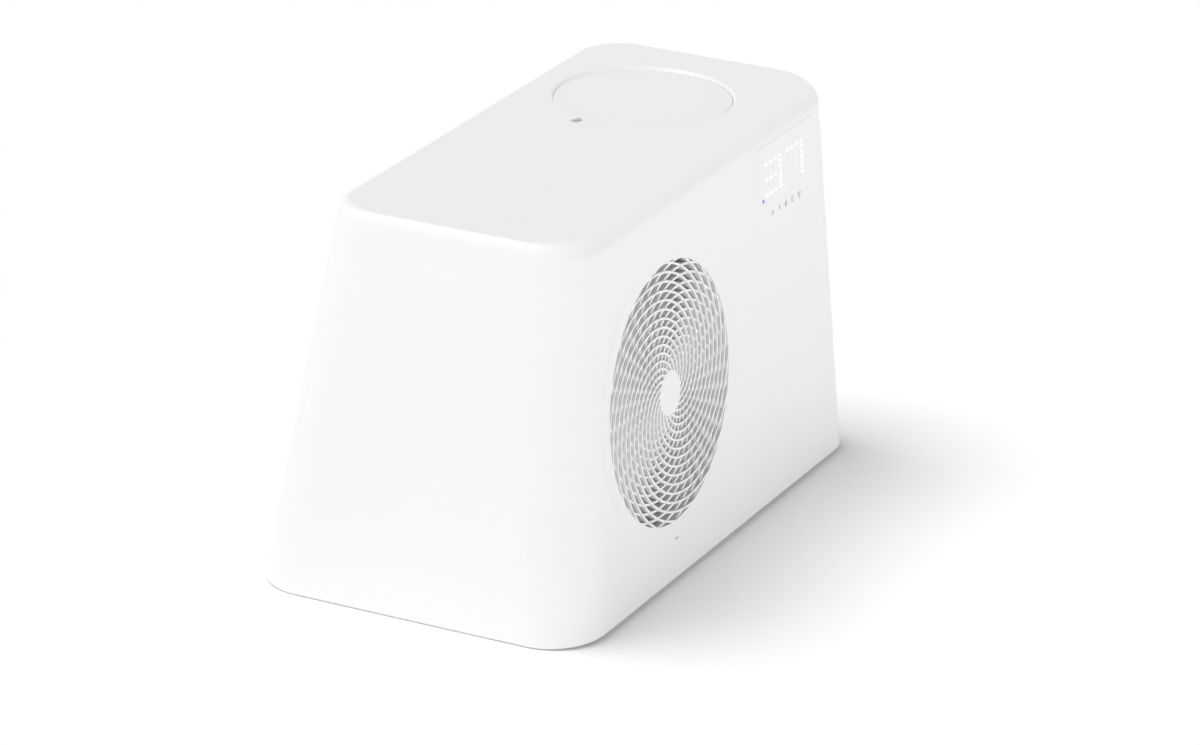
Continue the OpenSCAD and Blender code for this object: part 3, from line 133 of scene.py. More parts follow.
def start(name, colour, **shader):
    """A new material with its shader and object coordinates in metres."""
    material = bpy.data.materials.new(name)
    material.use_nodes = True
    tree = material.node_tree
    tree.nodes.clear()
    skin = add(tree, "BsdfPrincipled", base_color=linear(colour), **shader)
    add(tree, "OutputMaterial", {"Surface": skin.outputs["BSDF"]})
    place = add(tree, "TexCoord").outputs["Object"]
    material.diffuse_color = linear(colour)
    return material, tree, skin, place


print("helpers ready")

# %% [markdown]
# ## Injection-moulded ABS
#
# The casing, lid, grille and rear screen are white ABS, each moulded in a steel tool. Moulded ABS has an
# IOR near 1.53 and a satin face: the tool is spark-eroded with a very fine grain, about 0.25 mm from peak
# to peak, which breaks up reflections. Thick and thin walls cool at different speeds, which leaves a faint
# long wave in the gloss. An image of the grain would have to be wrapped round the corners and would show a
# seam, so noise in object coordinates draws it. It is drawn at 0.6 mm, because the real grain is too fine
# to show.

# %% ABS material
abs_white, tree, skin, place = start("ABS, fine-grained white", "F0F0F0", roughness=0.33, ior=1.53)
grain = add(tree, "TexNoise", {"Vector": place}, scale=1 / (0.6 * MM), detail=2.0)
bump = add(tree, "Bump", {"Height": grain.outputs["Fac"]}, strength=0.12, distance=0.02 * MM)
tree.links.new(bump.outputs["Normal"], skin.inputs["Normal"])
flow = add(tree, "TexNoise", {"Vector": place}, scale=1 / (90 * MM), detail=1.0)
gloss = add(tree, "MapRange", {"Value": flow.outputs["Fac"]}, to_min=0.29, to_max=0.37)
tree.links.new(gloss.outputs["Result"], skin.inputs["Roughness"])
print(abs_white.name)

# %% [markdown]
# ## Acrylic window
#
# The display hides behind a flush pane of opal acrylic, cast and then etched to the casing's satin. A
# shader that lets light through would show nothing more, because behind an opal pane only lit LEDs can be
# seen. So the pane is a plain white surface. Only the joint round it and a slightly more even gloss let the
# eye find it.

# %% Acrylic material
acrylic, tree, skin, place = start("Acrylic, opal white", "F0F0F0", roughness=0.3, ior=1.49)
flow = add(tree, "TexNoise", {"Vector": place}, scale=1 / (60 * MM), detail=1.0)
gloss = add(tree, "MapRange", {"Value": flow.outputs["Fac"]}, to_min=0.28, to_max=0.32)
tree.links.new(gloss.outputs["Result"], skin.inputs["Roughness"])
print(acrylic.name)

# %% [markdown]
# ## Dark technical plastics
#
# The fittings are glass-filled nylon: the fibres come to the skin and leave it dull and slightly mottled.
# Fan, shroud, port plate and control box are plain dark grey polypropylene, which looks waxy and has a low
# IOR. The rocker and the drain lever are red acetal, moulded harder and shinier. Single fibres would cost
# much and show little from here, so noise mottles the gloss of the nylon and the colour of the other two.

# %% Nylon and polypropylene
nylon, tree, skin, place = start("Nylon, glass-filled black", "1C1D1F", roughness=0.55, ior=1.53)
fibres = add(tree, "TexNoise", {"Vector": place}, scale=1 / (1.5 * MM), detail=4.0)
shade = add(tree, "MapRange", {"Value": fibres.outputs["Fac"]}, to_min=0.48, to_max=0.66)
tree.links.new(shade.outputs["Result"], skin.inputs["Roughness"])
bump = add(tree, "Bump", {"Height": fibres.outputs["Fac"]}, strength=0.2, distance=0.03 * MM)
tree.links.new(bump.outputs["Normal"], skin.inputs["Normal"])

polypropylene, tree, skin, place = start("Polypropylene, grey", "3C3E40", roughness=0.45, ior=1.49)
wax = add(tree, "TexNoise", {"Vector": place}, scale=1 / (12 * MM), detail=3.0)
tint = add(tree, "MixRGB", {"Fac": wax.outputs["Fac"]}, color1=linear("393B3D"), color2=linear("404244"))
tree.links.new(tint.outputs["Color"], skin.inputs["Base Color"])

acetal, tree, skin, place = start("Acetal, red", "B3231C", roughness=0.32, ior=1.48)
swirl = add(tree, "TexNoise", {"Vector": place}, scale=1 / (8 * MM), detail=2.0)
tint = add(tree, "MixRGB", {"Fac": swirl.outputs["Fac"]}, color1=linear("A91F19"), color2=linear("BC2820"))
tree.links.new(tint.outputs["Color"], skin.inputs["Base Color"])
print(nylon.name, "|", polypropylene.name, "|", acetal.name)

# %% [markdown]
# ## Rubber and hose
#
# Feet, seal and compressor mounts are EPDM rubber, moulded and left dull, with a little dust in its skin.
# The water hoses are clear-grey PVC with a polyester braid inside. Modelled threads would be hundreds of
# thin tubes, so two sets of slanting waves, one for each direction of the braid, are laid over each other
# to draw it. A diagonal wave repeats after 0.36 divided by its scale, so here the threads are 5.8 mm apart.

# %% Rubber and braided hose
epdm, tree, skin, place = start("EPDM rubber", "17181A", roughness=0.78, ior=1.5)
dust = add(tree, "TexNoise", {"Vector": place}, scale=1 / (3 * MM), detail=5.0)
tint = add(tree, "MixRGB", {"Fac": dust.outputs["Fac"]}, color1=linear("131416"), color2=linear("222326"))
tree.links.new(tint.outputs["Color"], skin.inputs["Base Color"])

hose, tree, skin, place = start("PVC hose with braid", "C9CCCE", roughness=0.3, ior=1.53)
BRAID_LEAN = 0.7
threads = []
for lean in (BRAID_LEAN, -BRAID_LEAN):
    slope = add(tree, "Mapping", {"Vector": place}, rotation=(lean, lean, 0))
    wave = add(tree, "TexWave", {"Vector": slope.outputs["Vector"]}, bands_direction="DIAGONAL",
               scale=1 / (16 * MM))
    threads.append(wave.outputs["Fac"])
braid = add(tree, "Math", {0: threads[0], 1: threads[1]}, operation="MAXIMUM")
lines = add(tree, "MapRange", {"Value": braid.outputs[0]}, from_min=0.9, from_max=0.99)
tint = add(tree, "MixRGB", {"Fac": lines.outputs["Result"]}, color1=linear("BFC3C6"), color2=linear("E4E6E7"))
tree.links.new(tint.outputs["Color"], skin.inputs["Base Color"])
print(epdm.name, "|", hose.name)

# %% [markdown]
# ## Metals
#
# Tray, brackets and motor cans are hot-dip galvanised sheet: the zinc freezes into flat crystals, the
# spangle, about 8 mm wide, and each mirrors the room at its own angle. A Voronoi pattern is made of such
# cells, so it gives each crystal its own roughness and tint. Screws are zinc-plated and smoother. The
# compressor and the accumulator are sprayed and baked black enamel with a slight orange-peel wave of about
# 2 mm. Refrigerant pipe is drawn copper, gone a little brown. The fins are bare rolled aluminium foil.

# %% Galvanised sheet and zinc-plated screws
galvanised, tree, skin, place = start("Steel sheet, galvanised", "B4B7BA", roughness=0.4, metallic=1.0)
spangle = add(tree, "TexVoronoi", {"Vector": place}, scale=1 / (8 * MM))
shine = add(tree, "SeparateColor", {"Color": spangle.outputs["Color"]})
rough = add(tree, "MapRange", {"Value": shine.outputs["Red"]}, to_min=0.3, to_max=0.52)
tree.links.new(rough.outputs["Result"], skin.inputs["Roughness"])
tint = add(tree, "MixRGB", {"Fac": shine.outputs["Green"]}, color1=linear("A8ABAE"), color2=linear("BEC1C3"))
tree.links.new(tint.outputs["Color"], skin.inputs["Base Color"])

zinc, tree, skin, place = start("Steel, zinc-plated", "C6C8C8", roughness=0.3, metallic=1.0)
tarnish = add(tree, "TexNoise", {"Vector": place}, scale=1 / (2 * MM), detail=3.0)
rough = add(tree, "MapRange", {"Value": tarnish.outputs["Fac"]}, to_min=0.28, to_max=0.4)
tree.links.new(rough.outputs["Result"], skin.inputs["Roughness"])
print(galvanised.name, "|", zinc.name)

# %% Enamel, copper and fin stock
enamel, tree, skin, place = start("Enamel, baked black", "111214", roughness=0.3,
                                  coat_weight=0.4, coat_roughness=0.12)
peel = add(tree, "TexNoise", {"Vector": place}, scale=1 / (2 * MM), detail=1.0)
bump = add(tree, "Bump", {"Height": peel.outputs["Fac"]}, strength=0.25, distance=0.05 * MM)
tree.links.new(bump.outputs["Normal"], skin.inputs["Normal"])

copper, tree, skin, place = start("Copper, drawn tube", "B8714F", roughness=0.33, metallic=1.0)
bloom = add(tree, "TexNoise", {"Vector": place}, scale=1 / (14 * MM), detail=5.0)
tint = add(tree, "MixRGB", {"Fac": bloom.outputs["Fac"]}, color1=linear("9C5A3C"), color2=linear("C98563"))
tree.links.new(tint.outputs["Color"], skin.inputs["Base Color"])
rough = add(tree, "MapRange", {"Value": bloom.outputs["Fac"]}, to_min=0.28, to_max=0.42)
tree.links.new(rough.outputs["Result"], skin.inputs["Roughness"])

foil, tree, skin, place = start("Aluminium, fin stock", "D2D5D7", roughness=0.35, metallic=1.0)
roll = add(tree, "TexNoise", {"Vector": place}, scale=1 / (5 * MM), detail=4.0)
rough = add(tree, "MapRange", {"Value": roll.outputs["Fac"]}, to_min=0.28, to_max=0.46)
tree.links.new(rough.outputs["Result"], skin.inputs["Roughness"])
print(enamel.name, "|", copper.name, "|", foil.name)

# %% [markdown]
# ## Filter fabric and circuit board
#
# The cartridge is pleated spun-bonded polyester, a felt of random threads: rough, off-white, with a soft
# sheen. Its pleats are in the solid, so only the felt is drawn, as a bump of fine noise. The circuit board
# is glass epoxy under a green solder mask, through which the glass weave shows as a faint mottle.

# %% Fabric and board
polyester, tree, skin, place = start("Polyester, spun-bonded", "E9E7DD", roughness=0.85, sheen_weight=0.3)
felt = add(tree, "TexNoise", {"Vector": place}, scale=1 / (0.8 * MM), detail=6.0)
bump = add(tree, "Bump", {"Height": felt.outputs["Fac"]}, strength=0.5, distance=0.1 * MM)
tree.links.new(bump.outputs["Normal"], skin.inputs["Normal"])
tint = add(tree, "MixRGB", {"Fac": felt.outputs["Fac"]}, color1=linear("E0DDD0"), color2=linear("F0EEE6"))
tree.links.new(tint.outputs["Color"], skin.inputs["Base Color"])

board, tree, skin, place = start("Glass epoxy, green mask", "14532F", roughness=0.28, ior=1.55)
weave = add(tree, "TexNoise", {"Vector": place}, scale=1 / (1.2 * MM), detail=2.0)
tint = add(tree, "MixRGB", {"Fac": weave.outputs["Fac"]}, color1=linear("0F4727"), color2=linear("1A5F38"))
tree.links.new(tint.outputs["Color"], skin.inputs["Base Color"])
print(polyester.name, "|", board.name)

# %% [markdown]
# ## Dressing the solids
#
# Each solid keeps its shape and gets the material that the record names for it. The frame's meshes are
# faceted where the real piece is round, so two modifiers make the shading smooth: one joins the points of
# neighbouring faces, and a small group of geometry nodes shades every edge flatter than 30 degrees as a
# curve. Modifiers leave the frame's own points alone.

# %% Smooth shading by edge angle
smooth = bpy.data.node_groups.new("Smooth by angle", "GeometryNodeTree")
smooth.interface.new_socket("Geometry", in_out="INPUT", socket_type="NodeSocketGeometry")
smooth.interface.new_socket("Geometry", in_out="OUTPUT", socket_type="NodeSocketGeometry")
source = smooth.nodes.new("NodeGroupInput")
angle = smooth.nodes.new("GeometryNodeInputMeshEdgeAngle")
flat = smooth.nodes.new("FunctionNodeCompare")
flat.operation = "LESS_THAN"
flat.inputs[1].default_value = math.radians(30)
faces = smooth.nodes.new("GeometryNodeSetShadeSmooth")
edges = smooth.nodes.new("GeometryNodeSetShadeSmooth")
edges.domain = "EDGE"
result = smooth.nodes.new("NodeGroupOutput")
smooth.links.new(source.outputs[0], faces.inputs["Geometry"])
smooth.links.new(faces.outputs[0], edges.inputs["Geometry"])
smooth.links.new(angle.outputs["Unsigned Angle"], flat.inputs[0])
smooth.links.new(flat.outputs[0], edges.inputs["Shade Smooth"])
smooth.links.new(edges.outputs[0], result.inputs[0])


def shade(piece):
    """Smooth the piece's round faces and keep its flat ones flat."""
    weld = piece.modifiers.new("join", "WELD")
    weld.merge_threshold = 0.002 * MM
    piece.modifiers.new("smooth", "NODES").node_group = smooth
    weighted = piece.modifiers.new("flat faces first", "WEIGHTED_NORMAL")
    weighted.keep_sharp = True
    weighted.weight = 90


print("smoothing group has", len(smooth.nodes), "nodes")

# %% Give every node its material
FINISH = {
    "casing_plastic": abs_white, "window_plastic": acrylic, "dark_plastic": nylon,
    "grey_plastic": polypropylene, "red_plastic": acetal, "rubber": epdm, "hose": hose,
    "sheet_steel": galvanised, "screw_steel": zinc, "black_steel": enamel, "copper": copper,
    "fin_aluminium": foil, "filter_paper": polyester, "board": board,
}
for part in frame["record"]["subparts"]:
    piece = NODES[part["node"]]
    piece.data.materials.clear()
    piece.data.materials.append(FINISH[part["material_slot"]])
    shade(piece)

# %% [markdown]
# ## Helpers for small pieces
#
# Everything below is mesh code: an outline is filled and raised, or a profile is turned round an axis. Each
# new piece names the body it rides on and the finish it gets.

# %% Piece, plate and turned helpers
def finish_piece(name, bm, material, body, at=None, smooth_it=True):
    """Make a named piece of a mesh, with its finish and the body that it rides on."""
    mesh = bpy.data.meshes.new(name)
    bmesh.ops.recalc_face_normals(bm, faces=bm.faces)
    bm.to_mesh(mesh)
    bm.free()
    if at is not None:
        mesh.transform(at)
    piece = bpy.data.objects.new(name, mesh)
    bpy.context.scene.collection.objects.link(piece)
    mesh.materials.append(material)
    if smooth_it:
        shade(piece)
    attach(piece, body)
    return piece


def bridge(bm, rings):
    """Join each ring of points to the next with a band of faces."""
    for a, b in zip(rings, rings[1:]):
        n = len(a)
        for k in range(n):
            corners = list(dict.fromkeys((a[k], a[(k + 1) % n], b[(k + 1) % n], b[k])))
            if len(corners) > 2:
                bm.faces.new(corners)


def close_ends(bm, rings):
    """Fill the first and the last ring."""
    bm.faces.new(rings[0][::-1])
    bm.faces.new(rings[-1])


def circle(r, steps, z=0):
    """Points on a circle of radius r at height z."""
    turns = [2 * math.pi * k / steps for k in range(steps)]
    return [Vector((r * math.cos(q), r * math.sin(q), z)) for q in turns]


def raise_outline(bm, points, low, high, at=Matrix.Identity(4)):
    """Fill a flat outline at height low and raise it to height high."""
    rings = [[bm.verts.new(at @ Vector((x, y, z))) for x, y in points] for z in (low, high)]
    close_ends(bm, rings)
    bridge(bm, rings)


def turn_profile(bm, profile, steps=32, at=Matrix.Identity(4)):
    """Turn a profile of (radius, height) points round Z. A radius of 0 closes the end."""
    rings = []
    for r, z in profile:
        if r == 0:
            rings.append([bm.verts.new(at @ Vector((0, 0, z)))] * steps)
        else:
            rings.append([bm.verts.new(at @ point) for point in circle(r, steps, z)])
    bridge(bm, rings)


print("mesh helpers ready")

# %% [markdown]
# ## The lit display
#
# Behind the pane sit small LEDs. Each digit is a field of four by seven, and each LED shows through the
# opal acrylic as a flat oval, about twice as wide as it is high. A picture on the pane could draw them, but
# it would blur in a close view. So each is a low lens that stands a twentieth of a millimetre proud of the
# pane, with a light of its own. The pitch comes from measuring the photograph on the leaning face: 11.53 mm
# across and 5.54 mm down. One dot after each digit glows faintly, and one is blue.

# %% Display light materials
def glow(name, colour, strength):
    """A material that gives off light of its own colour."""
    material, tree, skin, place = start(name, colour, roughness=0.3, emission_strength=strength)
    skin.inputs["Emission Color"].default_value = linear(colour)
    cell = add(tree, "TexNoise", {"Vector": place}, scale=1 / (2 * MM), detail=1.0)
    soft = add(tree, "MapRange", {"Value": cell.outputs["Fac"]}, to_min=0.28, to_max=0.36)
    tree.links.new(soft.outputs["Result"], skin.inputs["Roughness"])
    return material


led_white = glow("LED through acrylic, white", "FDFDFD", 0.4)
led_dim = glow("LED through acrylic, unlit", "F8F8F8", 0.05)
led_blue = glow("LED through acrylic, blue", "2E78F5", 0.35)
print(led_white.name, "|", led_dim.name, "|", led_blue.name)

# %% Digits and dots
FACE = face_frame(0, 0, FRONT_LEAN, -1)
UP = 1 / math.cos(FRONT_LEAN)
DIGITS = {
    "3": ["1111", "0001", "0001", "1111", "0001", "0001", "1111"],
    "7": ["1111", "0001", "0001", "0001", "0001", "0001", "0001"],
}
PITCH_X, PITCH_Z = 11.53, 5.542
DOT_W, DOT_H = 6.4, 2.9
LENS_STEPS, LENS_SUNK = 24, -0.02
TOP_ROW = 363.8


def lens(bm, x, z, w, h, rise=0.05):
    """A low oval lens on the front face; x and z in mm from the face's foot, z measured straight up."""
    middle = Vector((x, z * UP, 0))
    rings = []
    for share, level in ((1, LENS_SUNK), (1, rise * 0.5), (0.8, rise), (0.4, rise * 1.1)):
        oval = [Vector((p.x * w / 2, p.y * h / 2, p.z)) for p in circle(share, LENS_STEPS, level)]
        rings.append([bm.verts.new((middle + p) * MM) for p in oval])
    bridge(bm, rings)
    close_ends(bm, rings)


bm = bmesh.new()
lit = 0
for digit, left in (("3", 133.33), ("7", 186.6)):
    for row, line in enumerate(DIGITS[digit]):
        for column, on in enumerate(line):
            if on == "1":
                lens(bm, left + PITCH_X * column, TOP_ROW - PITCH_Z * row, DOT_W, DOT_H)
                lit += 1
finish_piece("display_digits", bm, led_white, "chiller", FACE)
bm = bmesh.new()
for x, z in ((174.6, 323.9), (233.7, 365.1)):
    lens(bm, x, z, DOT_W, DOT_H)
finish_piece("display_dim_dots", bm, led_dim, "chiller", FACE)
bm = bmesh.new()
lens(bm, 124.2, 326.5, 5.4, 4.2)
finish_piece("display_status_dot", bm, led_blue, "chiller", FACE)
print("lit dots:", lit)

# %% [markdown]
# ## Printed key marks
#
# Under the digits the pane carries five grey touch marks: down, up, a drop, a menu and a fan. They are
# screen-printed. An image could draw them too, but outlines stay sharp in a close view. So each mark is a
# flat outline raised by a few hundredths of a millimetre.

# %% Ink and key marks
ink, tree, skin, place = start("Screen-printing ink, grey", "B9BABC", roughness=0.5, ior=1.5)
screen = add(tree, "TexNoise", {"Vector": place}, scale=1 / (0.5 * MM), detail=1.0)
tint = add(tree, "MixRGB", {"Fac": screen.outputs["Fac"]}, color1=linear("B4B5B7"), color2=linear("BEBFC1"))
tree.links.new(tint.outputs["Color"], skin.inputs["Base Color"])


def arc(cx, cy, r, a0, a1, n=12):
    """Points on an arc round (cx, cy), from angle a0 to a1 in degrees."""
    turns = [math.radians(a0 + (a1 - a0) * k / n) for k in range(n + 1)]
    return [(cx + r * math.cos(q), cy + r * math.sin(q)) for q in turns]


arrow = [(-2.7, 0.7), (-0.8, 0.7), (-0.8, 3.3), (0.8, 3.3), (0.8, 0.7), (2.7, 0.7), (0, -3)]
drop = arc(0, -1.0, 2.7, -205, 25) + [(0, 4.8)]


def bar(half_w, half_h, y=0):
    """The corners of a bar whose middle is at height y."""
    return [(-half_w, y - half_h), (half_w, y - half_h), (half_w, y + half_h), (-half_w, y + half_h)]


bars = [bar(3, 0.6, y) for y in (-2.6, 0, 2.6)]
blade = [(0.35, 0.25)] + arc(1.95, 1.45, 1.8, -60, 150, 10)
blades = [[(x * math.cos(a) - y * math.sin(a), x * math.sin(a) + y * math.cos(a)) for x, y in blade]
          for a in (0, math.radians(120), math.radians(240))]
marks = [
    (145.7, 308.0, [arrow]), (162.2, 309.2, [[(-x, -y) for x, y in arrow]]), (178.1, 308.7, [drop]),
    (194.0, 308.4, bars), (211.3, 308.0, blades),
]
bm = bmesh.new()
for x, z, outlines in marks:
    for outline in outlines:
        placed = [((x + px) * MM, (z * UP + pz) * MM) for px, pz in outline]
        raise_outline(bm, placed, -0.01 * MM, 0.04 * MM)
finish_piece("key_marks", bm, ink, "chiller", FACE, smooth_it=False)
print("key marks:", len(marks))

# %% [markdown]
# ## Joints round the grille and the window
#
# On the photograph the grille's joint shows as a light line on the left and almost nowhere else, and the
# window's joint is dark only along its top. Both are closed with white silicone, wiped flush. A painted
# line would look alike from every side, while a bead is lit by its slope. So on the left the beads slope to
# the bright side of the room. Along the top of the window the silicone is grey instead: that grey is painted
# shade, standing in for the shade along the top of the joint.

# %% Silicone and beads
silicone, tree, skin, place = start("Silicone, white", "F0F0F0", roughness=0.42, ior=1.41)
wiped = add(tree, "TexNoise", {"Vector": place}, scale=1 / (5 * MM), detail=2.0)
rough = add(tree, "MapRange", {"Value": wiped.outputs["Fac"]}, to_min=0.36, to_max=0.5)
tree.links.new(rough.outputs["Result"], skin.inputs["Roughness"])

# A grey copy of the silicone: painted shade for the dark line along the top of the window's joint.
silicone_painted_shade = silicone.copy()
silicone_painted_shade.name = "Silicone, grey painted shade"
silicone_painted_shade.node_tree.nodes["Principled BSDF"].inputs["Base Color"].default_value = linear("A6A7A9")


def bead(bm, sections, deep, closed=True):
    """A strip along a joint of the front face. A section is its inner and outer (x, y, level) in mm."""
    rings = []
    for inner, outer in sections:
        corners = (inner, outer, outer[:2] + (-deep,), inner[:2] + (-deep,))
        rings.append([bm.verts.new(FACE @ (Vector(corner) * MM)) for corner in corners])
    bridge(bm, rings + (rings[:1] if closed else []))
    if not closed:
        close_ends(bm, rings)


RING_X, RING_Y, RING_R, GROOVE, RING_STEPS, RING_DEEP = -109.6, 197 * UP, 153.6, 0.9, 144, 2.0
RING_SLOPE, RING_FADE = 0.8, 1.5
CLEAR, SUNK = 0.01, 0.03


def joint_section(cx, cy, r, gap, q, slope):
    """Inner and outer edge of a bead at angle q of an arc round (cx, cy). The outer edge slopes down."""
    edges = ((r + CLEAR, 0), (r + gap - CLEAR, slope))
    return [(cx + edge * math.cos(q), cy + edge * math.sin(q), -SUNK - down) for edge, down in edges]


bm = bmesh.new()
sections = []
for k in range(RING_STEPS):
    q = 2 * math.pi * k / RING_STEPS
    slope = RING_SLOPE * max(0, -math.cos(q)) ** RING_FADE
    sections.append(joint_section(RING_X, RING_Y, RING_R, GROOVE, q, slope))
bead(bm, sections, RING_DEEP)
finish_piece("grille_bead", bm, silicone, "chiller")

PANE_X, PANE_Y, PANE_W, PANE_H, PANE_R, PANE_GAP, PANE_DEEP = 179, 334 * UP, 158, 101, 17, 0.3, 2.2
PANE_SLOPE, CORNER_STEPS = 0.25, 8
QUARTERS = ((0, 1, 1), (90, -1, 1), (180, -1, -1), (270, 1, -1))
sections = []
for turn, side_x, side_y in QUARTERS:
    for k in range(CORNER_STEPS + 1):
        q = math.radians(turn + 90 * k / CORNER_STEPS)
        slope = PANE_SLOPE * max(0, -math.cos(q))
        cx = PANE_X + side_x * (PANE_W / 2 - PANE_R)
        cy = PANE_Y + side_y * (PANE_H / 2 - PANE_R)
        sections.append(joint_section(cx, cy, PANE_R, PANE_GAP, q, slope))
TOP_FROM, TOP_TO = 6, 14
bm = bmesh.new()
bead(bm, sections[TOP_TO:] + sections[:TOP_FROM + 1], PANE_DEEP, closed=False)
finish_piece("window_bead", bm, silicone, "chiller")
# The top stretch of the window's bead is the grey silicone, painted shade for the joint's dark top line.
bm = bmesh.new()
bead(bm, sections[TOP_FROM:TOP_TO + 1], PANE_DEEP, closed=False)
finish_piece("window_top_shade_bead", bm, silicone_painted_shade, "chiller")
print("beads: 3")

# %% [markdown]
# Just below the grille's joint the photograph shows one small dark slot, where a blade can lift the grille's
# rim. It isn't cut into the casing's solid, so a thin dark plug, level with the face, stands for it. The
# plug's
# black is painted shade: it stands in for the shade that falls inside the slot.

# %% Release slot, a dark plug of painted shade
SLOT_X, SLOT_Y, SLOT_DEEP, SLOT_PROUD = -110, 40.7 * UP, 1, 0.03
bm = bmesh.new()
slot = [((SLOT_X + x) * MM, (SLOT_Y + y) * MM) for x, y in bar(3.2, 0.5)]
raise_outline(bm, slot, -SLOT_DEEP * MM, SLOT_PROUD * MM)
# The plug's black is painted shade for the inside of the slot.
release = finish_piece("release_slot_shade_plug", bm, nylon, "chiller", FACE, smooth_it=False)
print("slot faces:", len(release.data.polygons))

# %% [markdown]
# ## Foot of the casing
#
# The photograph shows no more than a hair of dark under the casing's left end, but a deep shadow along the
# front. So a low skirt of the same plastic fills the casing's foot chamfer. It reaches down to 1.2 mm above
# the floor at the two ends. Round the corners it shrinks, and along the front and the rear only about a
# tenth of a millimetre of it is left.

# %% Skirt
BODY_L, TOP_L, CORNER, TOP_CORNER, CASING_STEPS = 672, 617, 59, 54, 12
SKIRT_LOW, SKIRT_CHAMFER, FOOT_CHAMFER, SKIRT_T = -3.8, 0.3, 1.2, 3.4
LEAST_SHARE, SHARE_FADE = 0.03, 1.5


def casing_ring(z, inset):
    """The casing's outline at a height in mm above its foot. Below the foot it shrinks round the corners."""
    points = []
    for turn, side_x, side_y in QUARTERS:
        for k in range(CASING_STEPS + 1):
            q = math.radians(turn + 90 * k / CASING_STEPS)
            end_share = LEAST_SHARE + (1 - LEAST_SHARE) * abs(math.cos(q)) ** SHARE_FADE
            level = z * end_share if z < 0 else z
            t = level / (HEIGHT / MM)
            half_x = (BODY_L + (TOP_L - BODY_L) * t) / 2 - inset
            half_y = (DEPTH + (TOP_DEPTH - DEPTH) * t) / MM / 2 - inset
            r = CORNER + (TOP_CORNER - CORNER) * t - inset
            x = side_x * (half_x - r) + r * math.cos(q)
            y = side_y * (half_y - r) + r * math.sin(q) - TOP_SHIFT / MM * t
            points.append(Vector((x, y, level + FOOT / MM)) * MM)
    return points


bm = bmesh.new()
levels = [
    (FOOT_CHAMFER + 0.05, -0.01), (SKIRT_LOW + SKIRT_CHAMFER, -0.01), (SKIRT_LOW, SKIRT_CHAMFER),
    (SKIRT_LOW, 3), (-0.02, SKIRT_T), (-0.02, FOOT_CHAMFER),
]
rings = [[bm.verts.new(point) for point in casing_ring(z, inset)] for z, inset in levels]
bridge(bm, rings + rings[:1])
finish_piece("casing_skirt", bm, abs_white, "chiller")
print("skirt ends", round(FOOT / MM + SKIRT_LOW, 2), "mm above the floor")

# %% [markdown]
# ## Screw heads
#
# The port plate and the control box's cover are held by pan-head screws with a cross recess. A cross could
# be cut by a boolean, but that leaves long thin faces. So a head is a turned dome whose flat top is filled
# between a circle and a cross, and the cross is then sunk. One function makes a head anywhere, with its
# axis along the local Z of the place that it is given.

# %% Pan-head screws
def pan_head(bm, at, r, h):
    """One pan head of radius r and height h, seated at the local origin of at."""
    steps, arm, long_arm, deep = 24, r * 0.14, r * 0.52, h * 0.55
    levels = [(r, 0), (r, h * 0.35), (r * 0.93, h * 0.7), (r * 0.74, h)]
    rings = [[bm.verts.new(at @ point) for point in circle(level_r, steps, z)] for level_r, z in levels]
    bridge(bm, rings)
    bm.faces.new(rings[0][::-1])
    corners = []
    for k in range(4):
        quarter = Matrix.Rotation(k * math.pi / 2, 2)
        arm_corners = ((arm, -arm), (long_arm, -arm), (long_arm, arm))
        corners += [tuple(quarter @ Vector(corner)) for corner in arm_corners]
    cross, floor_ring = ([bm.verts.new(at @ Vector((x, y, z))) for x, y in corners] for z in (h, h - deep))
    rim = [bm.edges.get((rings[-1][k], rings[-1][(k + 1) % steps])) for k in range(steps)]
    edge = [bm.edges.new((cross[k], cross[(k + 1) % len(cross)])) for k in range(len(cross))]
    bmesh.ops.triangle_fill(bm, use_beauty=True, edges=rim + edge)
    bridge(bm, [cross, floor_ring])
    bm.faces.new(floor_ring)


PLATE_X, PLATE_Z, PLATE_SUNK, SCREW_X, SCREW_Y = 222 * MM, 134 * MM, 2 * MM, 60 * MM, 97 * MM
PLATE = face_frame(PLATE_X, PLATE_Z, BACK_LEAN, 1) @ Matrix.Translation((0, 0, -PLATE_SUNK))
bm = bmesh.new()
for x in (-SCREW_X, SCREW_X):
    for y in (-SCREW_Y, SCREW_Y):
        pan_head(bm, PLATE @ Matrix.Translation((x, y, 0)), 3.1 * MM, 2.0 * MM)
finish_piece("port_plate_screws", bm, zinc, "chiller")
low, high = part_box("control_cover")
SCREW_INSET = 6 * MM
bm = bmesh.new()
for x in (low.x + SCREW_INSET, high.x - SCREW_INSET):
    for y in (low.y + SCREW_INSET, high.y - SCREW_INSET):
        pan_head(bm, Matrix.Translation((x, y, high.z)), 2.8 * MM, 1.8 * MM)
finish_piece("control_cover_screws", bm, zinc, "chiller")
print("screws on the port plate and the control box")

# %% [markdown]
# ## Water and power connections
#
# Each hose is held by a worm-drive clamp: a slotted band round the hose and a small housing for its screw.
# The clamps go where the hoses meet their fittings inside the cabinet. Their slots are left out, because
# nothing of them would be seen in there. The band is a turned profile and the housing a raised outline.

# %% Hose clamps
def clamp(bm, centre, along, r):
    """A worm-drive clamp of inside radius r round a hose that runs along a direction."""
    z = Vector(along).normalized()
    x = z.orthogonal().normalized()
    at = Matrix.Translation(centre) @ Matrix((x, z.cross(x), z)).transposed().to_4x4()
    half, t = 4.5 * MM, 0.7 * MM
    shoulder, crown = r + t * 0.6, half * 0.85
    edge = r + t
    band = [(r, -half), (shoulder, -half), (edge, -crown), (edge, crown), (shoulder, half), (r, half)]
    band.append(band[0])
    turn_profile(bm, band, 40, at)
    housing = [(-4, 0), (4, 0), (4, 3), (2.5, 5.5), (-2.5, 5.5), (-4, 3)]
    raise_outline(bm, [(px * MM, r + py * MM) for px, py in housing], -half, half, at)


